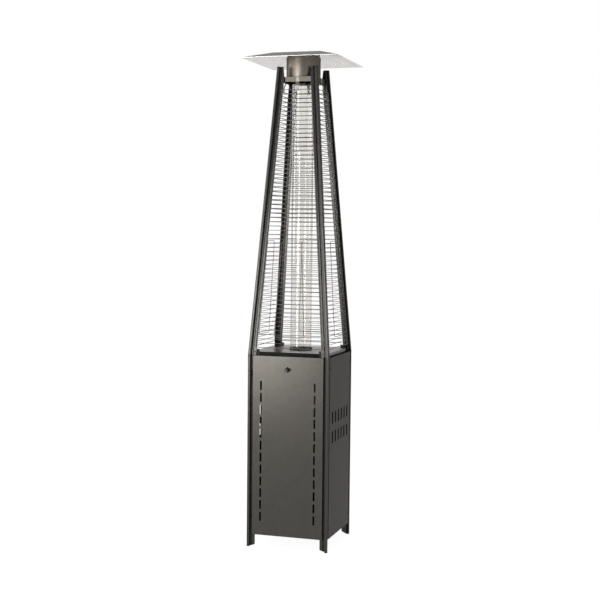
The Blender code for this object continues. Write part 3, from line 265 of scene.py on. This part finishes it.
def mixed_colour(tree, first, second, share=None, blend_type="MIX"):
    """Two colours mixed by a share, or in full without one."""
    node = add_node(tree, "ShaderNodeMix", {MIX_SHARE: 1.0}, data_type="RGBA",
                    blend_type=blend_type)
    if share is not None:
        tree.links.new(share, node.inputs[MIX_SHARE])
    for socket, colour in zip(MIX_COLOURS, (first, second)):
        tree.links.new(colour, node.inputs[socket])
    return node.outputs[MIX_COLOUR_OUT]


def bump(tree, shader, source, strength, distance, rounding=0.0):
    """Surface relief; with a rounding, hard edges take the soft light of formed sheet."""
    node = add_node(tree, "ShaderNodeBump", {"Strength": strength, "Distance": distance})
    tree.links.new(source, node.inputs["Height"])
    if rounding:
        edge = add_node(tree, "ShaderNodeBevel", {"Radius": rounding}, samples=SHADER_SAMPLES)
        tree.links.new(edge.outputs["Normal"], node.inputs["Normal"])
    tree.links.new(node.outputs["Normal"], shader.inputs["Normal"])


def painted_groove_shade(tree, colour, reach, closed_level):
    """Colour times how open a spot is: painted shade, darker deep in grooves and recesses."""
    open_share = add_node(tree, "ShaderNodeAmbientOcclusion", {"Distance": reach},
                          samples=SHADER_SAMPLES)
    shade = colour_ramp(tree, open_share.outputs["AO"], grey(closed_level), WHITE,
                        HOLLOW_CLOSED, HOLLOW_OPEN)
    return mixed_colour(tree, colour, shade, blend_type="MULTIPLY")


def worn_and_highlit_edge_share(tree):
    """1 along sharp edges and 0 on flat sheet, broken up by noise: the lighter edge tone, partly
    wear and partly a painted highlight.
    """
    edge = add_node(tree, "ShaderNodeBevel", {"Radius": WEAR_AND_HIGHLIGHT_RADIUS}, samples=SHADER_SAMPLES)
    geometry = add_node(tree, "ShaderNodeNewGeometry")
    turn = add_node(tree, "ShaderNodeVectorMath", operation="DOT_PRODUCT")
    tree.links.new(edge.outputs["Normal"], turn.inputs[0])
    tree.links.new(geometry.outputs["True Normal"], turn.inputs[1])
    bent = remap(tree, turn.outputs["Value"], 1.0, 0.0, SHARP_EDGE_DOT, FLAT_DOT)
    patches = remap(tree, object_noise(tree, WEAR_AND_HIGHLIGHT_PATCH_SCALE), WEAR_AND_HIGHLIGHT_PATCH_LOW, 1.0)
    return calculated(tree, "MULTIPLY", bent, patches)


def paint(name, tones, worn_and_highlit, metallic, roughness, peel, rounding=0.0, groove_shade=None):
    """Sprayed metal paint: fine flake and soft mottle in its colour, orange peel in its surface,
    and a lighter edge tone, partly wear and partly a painted highlight. A groove shade is
    (reach, level where it is closed), a painted shade that darkens grooves."""
    material, tree, shader = new_material(name)
    dark, light = tones
    flake = object_noise(tree, FLAKE_SCALE, detail=2.0, roughness=0.6)
    mottle = object_noise(tree, MOTTLE_SCALE, detail=3.0, roughness=0.6)
    cloud = object_noise(tree, PAINT_CLOUD_SCALE, detail=3.0)
    flecks = colour_ramp(tree, flake, dark, light, 0.3, 0.7)
    tone = colour_ramp(tree, mottle, grey(MOTTLE_DARKEST), WHITE)
    colour = mixed_colour(tree, flecks, tone, blend_type="MULTIPLY")
    # Painted shade in the grooves of the posts' paint
    if groove_shade:
        colour = painted_groove_shade(tree, colour, *groove_shade)
    # Lighter tone along edges: partly wear, partly a painted highlight
    worn_and_highlit_tone = colour_ramp(tree, flake, light, worn_and_highlit, 0.3, 0.7)
    colour = mixed_colour(tree, colour, worn_and_highlit_tone, worn_and_highlit_edge_share(tree))
    tree.links.new(colour, shader.inputs["Base Color"])
    tree.links.new(remap(tree, cloud, *roughness), shader.inputs["Roughness"])
    bump(tree, shader, object_noise(tree, PEEL_SCALE, detail=2.0), peel, PEEL_HEIGHT, rounding)
    shader.inputs["Metallic"].default_value = metallic
    shader.inputs["Specular Tint"].default_value = (*grey(PAINT_SPECULAR_TINT), 1.0)
    return material


def upright_share(tree, low, high):
    """How far a surface faces up: 0 below the low value of its normal's Z, 1 above the high."""
    geometry = add_node(tree, "ShaderNodeNewGeometry")
    parts = add_node(tree, "ShaderNodeSeparateXYZ")
    tree.links.new(geometry.outputs["Normal"], parts.inputs["Vector"])
    return remap(tree, parts.outputs["Z"], 0.0, 1.0, low, high)


def metal(name, tones, roughness, stretch=(1.0, 1.0, 1.0), scale=160.0, grain=0.06, clouds=14.0,
          painted_light_upper_tones=None, upward=None):
    """Bare or plated metal with a directional grain.

    With painted-light upper tones, faces whose normal's Z is past the range 'upward' take those
    instead: painted light and shade.
    """
    material, tree, shader = new_material(name)
    grain_noise = object_noise(tree, scale, detail=5.0, roughness=0.65, stretch=stretch)
    cloud = object_noise(tree, clouds, detail=5.0, roughness=0.65)
    colour = colour_ramp(tree, cloud, *tones)
    # Faces turned up take other tones: light and shade painted by the way a face turns
    if painted_light_upper_tones:
        upper = colour_ramp(tree, cloud, *painted_light_upper_tones)
        colour = mixed_colour(tree, colour, upper, upright_share(tree, *upward))
    tree.links.new(colour, shader.inputs["Base Color"])
    tree.links.new(remap(tree, grain_noise, *roughness), shader.inputs["Roughness"])
    bump(tree, shader, grain_noise, grain, GRAIN_HEIGHT)
    shader.inputs["Metallic"].default_value = 1.0
    return material


def plastic(name, tones, roughness, scale=60.0, texture_scale=2600.0, texture_strength=0.15):
    """Moulded plastic with a fine spark-eroded texture."""
    material, tree, shader = new_material(name)
    cloud = object_noise(tree, scale, detail=3.0)
    texture = object_noise(tree, texture_scale, detail=2.0)
    tree.links.new(colour_ramp(tree, cloud, *tones), shader.inputs["Base Color"])
    tree.links.new(remap(tree, cloud, *roughness), shader.inputs["Roughness"])
    bump(tree, shader, texture, texture_strength, GRAIN_HEIGHT)
    return material


def glass(name, tones, roughness, index, scale=7.0, stretch=(1.0, 1.0, 0.3)):
    """Clear quartz tube with a very faint haze."""
    material, tree, shader = new_material(name)
    haze = object_noise(tree, scale, stretch=stretch)
    tree.links.new(remap(tree, haze, *roughness), shader.inputs["Roughness"])
    tree.links.new(colour_ramp(tree, haze, *tones, 0.3, 0.7), shader.inputs["Base Color"])
    shader.inputs["Transmission Weight"].default_value = 1.0
    shader.inputs["IOR"].default_value = index
    return material


# The paints take a lighter tone along their edges, partly wear and partly a painted highlight; the
# posts' paint also takes painted shade in its grooves.
BLACK_PAINT = paint("black_paint", tones=((0.038, 0.036, 0.033), (0.068, 0.065, 0.060)),
                    worn_and_highlit=(0.24, 0.235, 0.22), metallic=0.75, roughness=(0.22, 0.28), peel=0.06,
                    rounding=0.005, groove_shade=(0.020, 0.08))
CABINET_PAINT = paint("cabinet_paint", tones=((0.048, 0.0455, 0.040), (0.081, 0.0765, 0.068)),
                      worn_and_highlit=(0.26, 0.255, 0.24), metallic=0.85, roughness=(0.22, 0.26), peel=0.05)
BRONZE_PAINT = paint("bronze_paint", tones=((0.118, 0.103, 0.086), (0.170, 0.150, 0.127)),
                     worn_and_highlit=(0.36, 0.335, 0.30), metallic=0.95, roughness=(0.35, 0.43), peel=0.05)
# The reflector's faces turned up take darker brown tones: painted shade on its top.
REFLECTOR = metal("reflector_aluminium", tones=((0.60, 0.585, 0.57), (0.70, 0.69, 0.675)),
                  roughness=(0.30, 0.40), stretch=GRAIN_ALONG_Y, scale=700.0, grain=0.02,
                  clouds=30.0, painted_light_upper_tones=((0.30, 0.275, 0.243), (0.33, 0.305, 0.272)),
                  upward=(0.2, 0.5))
# The shelf's top takes light tones and its sides and front lip near-black ones: painted light on
# the top, and painted shade on the lip for the dark strip over the door.
SHELF = metal("shelf_aluminium", tones=((0.0035, 0.0033, 0.003), (0.006, 0.0055, 0.005)),
              roughness=(0.26, 0.34), stretch=GRAIN_ALONG_Y, scale=700.0, grain=0.02,
              clouds=40.0, painted_light_upper_tones=((0.20, 0.195, 0.19), (0.25, 0.245, 0.235)),
              upward=(0.3, 0.6))
WIRE = metal("guard_wire", tones=((0.075, 0.070, 0.065), (0.125, 0.118, 0.110)),
             roughness=(0.30, 0.42))
ZINC = metal("zinc_steel", tones=((0.20, 0.195, 0.185), (0.30, 0.29, 0.275)),
             roughness=(0.30, 0.42), stretch=(1.0, 1.0, 0.1))
# Near black: the finish of the small steel parts, and on the post joints also painted shade.
BLACK_ZINC = metal("black_zinc", tones=((0.010, 0.0095, 0.009), (0.020, 0.019, 0.018)),
                   roughness=(0.40, 0.52), stretch=(1.0, 1.0, 0.1))
BURNER = metal("burner_steel", tones=((0.018, 0.016, 0.014), (0.045, 0.038, 0.032)),
               roughness=(0.45, 0.60), stretch=(1.0, 1.0, 0.2))
BRASS = metal("brass", tones=((0.50, 0.37, 0.17), (0.62, 0.47, 0.22)), roughness=(0.24, 0.36),
              stretch=(0.2, 1.0, 1.0))
PLASTIC = plastic("black_plastic", tones=(grey(0.010), grey(0.018)), roughness=(0.34, 0.44))
GLASS = glass("tube_glass", tones=((0.85, 0.835, 0.815), (0.89, 0.875, 0.855)),
              roughness=(0.02, 0.06), index=1.46)

SLOT_MATERIALS = {
    "black_paint": BLACK_PAINT,
    "cabinet_paint": CABINET_PAINT,
    "bronze_paint": BRONZE_PAINT,
    "reflector_aluminium": REFLECTOR,
    "guard_wire": WIRE,
    "zinc_steel": ZINC,
    "burner_steel": BURNER,
    "brass": BRASS,
    "tube_glass": GLASS,
    "black_plastic": PLASTIC,
}


def node_material(name, slot):
    if name == "burner_shelf":
        return SHELF
    # The post joints are near black partly as blackened zinc and partly as painted shade, so they
    # merge with the dark strip over the door.
    if name == "valve_bracket" or name.startswith("post_joint_") or name.endswith("_knuckle"):
        return BLACK_ZINC
    return SLOT_MATERIALS[slot]


def dress_nodes():
    """Gives every carried-over CAD node its procedural material, by its record slot."""
    for part in frame["record"]["subparts"]:
        obj = NODES[part["node"]]
        obj.data.materials.clear()
        obj.data.materials.append(node_material(part["node"], part["material_slot"]))


def add_piece(name, data, material, body="heater"):
    obj = bpy.data.objects.new(name, data)
    bpy.context.scene.collection.objects.link(obj)
    data.materials.append(material)
    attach(obj, body)
    return obj


def wire_curve(name, runs):
    """Round wires as one curve; each run is (points, radius, closed)."""
    curve = bpy.data.curves.new(name, "CURVE")
    curve.dimensions = "3D"
    curve.bevel_depth = 1.0
    curve.bevel_resolution = WIRE_BEVEL_STEPS
    curve.use_fill_caps = True
    for points, radius, closed in runs:
        spline = curve.splines.new("POLY")
        spline.points.add(len(points) - 1)
        for point, place in zip(spline.points, points):
            point.co = (*place, 1.0)
            point.radius = radius
        spline.use_cyclic_u = closed
    return curve


def face_point(across, z, depth):
    """A point in the front face, at a depth behind its outermost plane."""
    return Vector((across, depth - half_width(z), z))


def level_wire(z, reach, radius):
    ends = [face_point(-reach, z, GUARD_DEPTH), face_point(reach, z, GUARD_DEPTH)]
    return (ends, radius, False)


def ladder_runs(low_z, high_z, wire_radius, heavy_wires):
    """Rails, side wires and level wires of one guard, in the front face."""
    edge = POST_ARM - SIDE_WIRE_OVERLAP
    runs = []
    for z in (low_z, high_z):
        runs.append(level_wire(z, half_width(z) - POST_ARM + RAIL_OVERLAP, RAIL_RADIUS))
    for sign in (-1, 1):
        foot = face_point(sign * (half_width(low_z) - edge), low_z, GUARD_DEPTH)
        head = face_point(sign * (half_width(high_z) - edge), high_z, GUARD_DEPTH)
        runs.append(([foot, head], RAIL_RADIUS, False))
    count = round((high_z - low_z) / WIRE_PITCH)
    for index in range(1, count):
        z = low_z + (high_z - low_z) * index / count
        radius = RAIL_RADIUS if index in heavy_wires else wire_radius
        runs.append(level_wire(z, half_width(z) - edge + WIRE_OVERHANG, radius))
    return runs


def loop_runs():
    """One closed loop with rounded corners, in the front face."""
    depth = GUARD_DEPTH - RAIL_RADIUS - GAP - LOOP_RADIUS
    corners = [(-LOOP_BOTTOM_WIDTH / 2, LOOP_BOTTOM_Z), (LOOP_BOTTOM_WIDTH / 2, LOOP_BOTTOM_Z),
               (LOOP_TOP_WIDTH / 2, LOOP_TOP_Z), (-LOOP_TOP_WIDTH / 2, LOOP_TOP_Z)]
    points = []
    for index, corner in enumerate(corners):
        here = Vector(corner)
        before = (Vector(corners[index - 1]) - here).normalized() * LOOP_CORNER
        after = (Vector(corners[(index + 1) % len(corners)]) - here).normalized() * LOOP_CORNER
        for step in range(LOOP_CORNER_STEPS + 1):
            t = step / LOOP_CORNER_STEPS
            bend = here + before * (1 - t) ** 2 + after * t ** 2
            points.append(face_point(bend.x, bend.y, depth))
    return [(points, LOOP_RADIUS, True)]


def add_wires(name, runs, turns, node):
    """Wires of one face, turned to it, in place of a CAD node."""
    curve = wire_curve(name, runs)
    curve.transform(quarter_turn(turns))
    piece = add_piece(name, curve, WIRE)
    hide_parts(node)


def add_guards():
    """Round-wire guards in place of the faceted ones."""
    for prefix, wire_radius, heavy in (("upper_guard_", UPPER_WIRE_RADIUS, ()),
                                       ("lower_guard_", LOWER_WIRE_RADIUS, HEAVY_WIRES)):
        low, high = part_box(prefix + "front")
        low_z = low[2] + RAIL_RADIUS
        high_z = high[2] - RAIL_RADIUS
        for turns, place in enumerate(FACES):
            runs = ladder_runs(low_z, high_z, wire_radius, heavy)
            add_wires(prefix + place + "_wires", runs, turns, prefix + place)
    for turns, place in enumerate(FACES):
        node = "lower_guard_loop_" + place
        add_wires(node + "_wire", loop_runs(), turns, node)


def finished_mesh(bm, name, sharp_angle=SHARP_ANGLE):
    mesh = bpy.data.meshes.new(name)
    bm.to_mesh(mesh)
    bm.free()
    mesh.shade_smooth()
    mesh.set_sharp_from_angle(angle=sharp_angle)
    return mesh


def turned(name, profile, steps, material):
    """Turned piece from a profile of (radius, height), outer side from top to bottom."""
    bm = bmesh.new()
    verts = [bm.verts.new((radius, 0.0, height)) for radius, height in profile]
    for start, end in zip(verts, verts[1:]):
        bm.edges.new((start, end))
    bmesh.ops.spin(bm, geom=bm.verts[:] + bm.edges[:], axis=(0, 0, 1), cent=(0, 0, 0),
                   steps=steps, angle=math.radians(360))
    bmesh.ops.remove_doubles(bm, verts=bm.verts, dist=WELD_DISTANCE)
    bmesh.ops.recalc_face_normals(bm, faces=bm.faces)
    return add_piece(name, finished_mesh(bm, name), material)


def add_tube():
    """Glass tube with fire-polished ends, in place of the faceted one."""
    low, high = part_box("glass_tube")
    foot_z = low[2]
    top_z = high[2]
    outer = high[0]
    inner = outer - TUBE_WALL
    middle = outer - TUBE_LIP
    heights = [top_z - TUBE_LIP - TUBE_LIP * k * k for k in range(TUBE_END_RINGS)]
    heights += [foot_z + TUBE_LIP + TUBE_LIP * k * k for k in reversed(range(TUBE_END_RINGS))]
    profile = [(middle, top_z), (outer - TUBE_BEND, top_z - TUBE_BEND)]
    profile += [(outer, z) for z in heights]
    profile += [(outer - TUBE_BEND, foot_z + TUBE_BEND), (middle, foot_z),
                (inner + TUBE_BEND, foot_z + TUBE_BEND)]
    profile += [(inner, z) for z in reversed(heights)]
    profile += [(inner + TUBE_BEND, top_z - TUBE_BEND), (middle, top_z)]
    piece = turned("glass_tube_round", profile, TUBE_STEPS, GLASS)
    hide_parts("glass_tube")


def arc(centre, radii, arcs, sweep):
    """Points clockwise from the top of an ellipse, over a sweep in degrees."""
    points = []
    for i in range(arcs + 1):
        angle = math.radians(90 - sweep * i / arcs)
        points.append((centre[0] + radii[0] * math.cos(angle),
                       centre[1] + radii[1] * math.sin(angle)))
    return points


def add_hood():
    """Hood with a rolled bead and soft shoulder, in place of the faceted one."""
    low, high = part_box("hood")
    foot_z = low[2]
    top_z = high[2]
    outer = high[0] - HOOD_BEAD_REACH
    inner = outer - HOOD_WALL
    neck = outer - HOOD_NECK_INSET
    shoulder = top_z - HOOD_NECK_HEIGHT
    fillet_reach, fillet_height = HOOD_NECK_FILLET
    profile = [(neck - HOOD_WALL, top_z), (neck, top_z - HOOD_RIM_ROLL),
               (neck, shoulder + fillet_height), (neck + fillet_reach, shoulder)]
    profile += arc((outer - HOOD_SHOULDER_RADIUS, shoulder - HOOD_SHOULDER_RADIUS),
                   (HOOD_SHOULDER_RADIUS, HOOD_SHOULDER_RADIUS), HOOD_SHOULDER_ARCS, 90)
    profile += arc((outer, shoulder - HOOD_BEAD_DROP), (HOOD_BEAD_REACH, HOOD_BEAD_HALF_HEIGHT),
                   HOOD_BEAD_ARCS, 180)
    profile += [(outer, foot_z + HOOD_FOOT_ROLL), (outer - HOOD_RIM_ROLL, foot_z), (inner, foot_z),
                (inner, shoulder - HOOD_WALL), (neck - HOOD_WALL, shoulder - HOOD_WALL),
                (neck - HOOD_WALL, top_z)]
    piece = turned("hood_round", profile, HOOD_STEPS, BRONZE_PAINT)
    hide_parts("hood")


def joined_rings(bm, rings):
    """Side faces between closed rings of vertices, with a face over the first and the last."""
    for ring, following in zip(rings, rings[1:]):
        for i in range(len(ring)):
            k = (i + 1) % len(ring)
            bm.faces.new((ring[i], following[i], following[k], ring[k]))
    bm.faces.new(rings[0])
    bm.faces.new(rings[-1][::-1])


def ribbed_ring(bm, radius, height, share):
    """Ring of vertices round the Z axis, with a share of the full depth of its ribs."""
    ring = []
    for i in range(KNOB_STEPS):
        angle = math.tau * i / KNOB_STEPS
        wave = 0.5 - 0.5 * math.cos(angle * KNOB_RIBS)
        reach = radius - KNOB_RIB_DEPTH * share * wave
        ring.append(bm.verts.new((reach * math.cos(angle), reach * math.sin(angle), height)))
    return ring


def add_knob():
    """Ribbed knob with a raised pointer, in place of the plain one."""
    low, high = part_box("control_knob")
    radius = (high[0] - low[0]) / 2
    length = high[1] - low[1]
    face = length - POINTER_HEIGHT
    rings = [(radius * reach, face - drop, share) for reach, drop, share in KNOB_FACE_RINGS]
    rings += [(radius * reach, length * height, share) for reach, height, share in KNOB_SIDE_RINGS]
    rings += [(radius, KNOB_FOOT_ROLL, 0.0), (radius - KNOB_FOOT_ROLL, 0.0, 0.0)]
    bm = bmesh.new()
    joined_rings(bm, [ribbed_ring(bm, *ring) for ring in rings])
    bmesh.ops.recalc_face_normals(bm, faces=bm.faces)
    size = (POINTER_WIDTH, radius * POINTER_LENGTH_SHARE, POINTER_HEIGHT * 2, 1.0)
    place = Matrix.Translation((0.0, radius * POINTER_PLACE_SHARE, face))
    bmesh.ops.create_cube(bm, size=1.0, matrix=place @ Matrix.Diagonal(size))
    mesh = finished_mesh(bm, "knob_ribbed", KNOB_SHARP_ANGLE)
    mesh.transform(Matrix.Translation(((low[0] + high[0]) / 2, high[1], (low[2] + high[2]) / 2))
                   @ Matrix.Rotation(math.radians(90), 4, "X"))
    piece = add_piece("knob_ribbed", mesh, PLASTIC, "knob")
    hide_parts("control_knob")


def screw_head(bm, place, radius):
    """Pan head with a washer under it, its axis along the place's own Z."""
    rings = []
    profile = [(radius * share, height) for share, height in SCREW_RINGS] + [SCREW_RECESS_TIP]
    for reach, height in profile:
        ring = []
        for i in range(SCREW_SIDES):
            angle = math.tau * i / SCREW_SIDES
            point = Vector((reach * math.cos(angle), reach * math.sin(angle), height))
            ring.append(bm.verts.new(place @ point))
        rings.append(ring)
    joined_rings(bm, rings)


def add_screws():
    """Painted screws that hold the three fixed panels, and those of the post joints."""
    door_low, door_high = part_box("front_door")
    panel_x = (door_high[0] - door_low[0]) / 2 - PANEL_SCREW_INSET
    panel_y = PANEL_FACE_DEPTH - CABINET_HALF
    joint_x = half_width(JOINT_SCREW_Z) - FLANGE_MIDDLE
    outward = Matrix.Rotation(math.radians(90), 4, "X")
    lean = Matrix.Rotation(-math.atan(LEAN), 4, "X")
    panels = bmesh.new()
    joints = bmesh.new()
    for turns, place in enumerate(FACES):
        turn = quarter_turn(turns)
        for sign in (-1, 1):
            if place != "front":
                for share in PANEL_SCREW_SHARES:
                    z = door_low[2] + (door_high[2] - door_low[2]) * share
                    spot = Matrix.Translation((sign * panel_x, panel_y, z))
                    screw_head(panels, turn @ spot @ outward, PANEL_SCREW_RADIUS)
            spot = Matrix.Translation(face_point(sign * joint_x, JOINT_SCREW_Z, FLANGE_DEPTH))
            screw_head(joints, turn @ spot @ lean @ outward, JOINT_SCREW_RADIUS)
    for name, bm, material, slot in (("panel_screws", panels, CABINET_PAINT, "cabinet_paint"),
                                     ("joint_screws", joints, BLACK_PAINT, "black_paint")):
        bmesh.ops.recalc_face_normals(bm, faces=bm.faces)
        add_piece(name, finished_mesh(bm, name), material)


def add_floor():
    """White floor that keeps the object's shadow."""
    bpy.ops.mesh.primitive_plane_add(size=FLOOR_SIZE, location=(0.0, 0.0, -FLOOR_DROP))
    floor = bpy.context.object
    floor.name = "floor"
    material, tree, shader = new_material("floor_pale")
    shader.inputs["Base Color"].default_value = (*grey(FLOOR_GREY), 1.0)
    shader.inputs["Roughness"].default_value = FLOOR_ROUGHNESS
    shader.inputs["Specular IOR Level"].default_value = FLOOR_SPECULAR
    path = add_node(tree, "ShaderNodeLightPath")
    glow = add_node(tree, "ShaderNodeEmission", {"Color": (*WHITE, 1.0), "Strength": FLOOR_GLOW})
    seen = calculated(tree, "MAXIMUM", path.outputs["Is Camera Ray"],
                      path.outputs["Is Transmission Ray"])
    seen_or_mirrored = calculated(tree, "MAXIMUM", seen, path.outputs["Is Glossy Ray"])
    share = add_node(tree, "ShaderNodeMath", {1: FLOOR_GLOW_SHARE}, operation="MULTIPLY")
    tree.links.new(seen_or_mirrored, share.inputs[0])
    mix = add_node(tree, "ShaderNodeMixShader")
    tree.links.new(share.outputs[0], mix.inputs["Fac"])
    tree.links.new(shader.outputs["BSDF"], mix.inputs[1])
    tree.links.new(glow.outputs["Emission"], mix.inputs[2])
    tree.links.new(mix.outputs["Shader"], tree.nodes["Material Output"].inputs["Surface"])
    floor.data.materials.append(material)


def add_world():
    """White where it is seen, shaded across and upwards in what mirrors it, dim otherwise."""
    world = bpy.data.worlds.new("studio")
    bpy.context.scene.world = world
    world.use_nodes = True
    tree = world.node_tree
    background = tree.nodes["Background"]
    background.inputs["Color"].default_value = (*WHITE, 1.0)
    path = add_node(tree, "ShaderNodeLightPath")
    seen = calculated(tree, "MAXIMUM", path.outputs["Is Camera Ray"],
                      path.outputs["Is Transmission Ray"])
    coords = add_node(tree, "ShaderNodeTexCoord")
    parts = add_node(tree, "ShaderNodeSeparateXYZ")
    tree.links.new(coords.outputs["Generated"], parts.inputs["Vector"])
    across = remap(tree, parts.outputs["X"], *MIRRORED_LEFT_RIGHT, *MIRRORED_X_RANGE)
    upwards = remap(tree, parts.outputs["Z"], *MIRRORED_LOW_HIGH, *MIRRORED_Z_RANGE)
    mirrored = calculated(tree, "MULTIPLY", across, upwards)
    first, second = MIX_FLOATS
    unseen = add_node(tree, "ShaderNodeMix", {first: WORLD_LEVEL})
    tree.links.new(path.outputs["Is Glossy Ray"], unseen.inputs[MIX_SHARE])
    tree.links.new(mirrored, unseen.inputs[second])
    strength = add_node(tree, "ShaderNodeMix", {second: SEEN_LEVEL})
    tree.links.new(seen, strength.inputs[MIX_SHARE])
    tree.links.new(unseen.outputs[0], strength.inputs[first])
    tree.links.new(strength.outputs[0], background.inputs["Strength"])


def add_lights():
    for name, place, target, width, height, watts in SOFTBOXES:
        data = bpy.data.lights.new(name, "AREA")
        data.shape = "RECTANGLE"
        data.size = width
        data.size_y = height
        data.energy = watts
        light = bpy.data.objects.new(name, data)
        light.location = place
        aim = Vector(target) - Vector(place)
        light.rotation_euler = aim.to_track_quat("-Z", "Y").to_euler()
        bpy.context.scene.collection.objects.link(light)


def add_camera():
    data = bpy.data.cameras.new("camera")
    data.sensor_width = SENSOR_WIDTH
    data.lens = CAMERA_LENS
    camera = bpy.data.objects.new("camera", data)
    turn = (Matrix.Rotation(CAMERA_AZIMUTH + CAMERA_YAW, 4, "Z")
            @ Matrix.Rotation(math.radians(90) - CAMERA_PITCH, 4, "X")
            @ Matrix.Rotation(CAMERA_ROLL, 4, "Z"))
    place = Vector((math.sin(CAMERA_AZIMUTH) * CAMERA_DISTANCE,
                    -math.cos(CAMERA_AZIMUTH) * CAMERA_DISTANCE, CAMERA_HEIGHT))
    camera.matrix_world = Matrix.Translation(place) @ turn
    bpy.context.scene.collection.objects.link(camera)
    bpy.context.scene.camera = camera


dress_nodes()
add_guards()
add_tube()
add_hood()
add_knob()
add_screws()
add_floor()
add_world()
add_lights()
add_camera()
bpy.context.scene.view_settings.view_transform = "Standard"
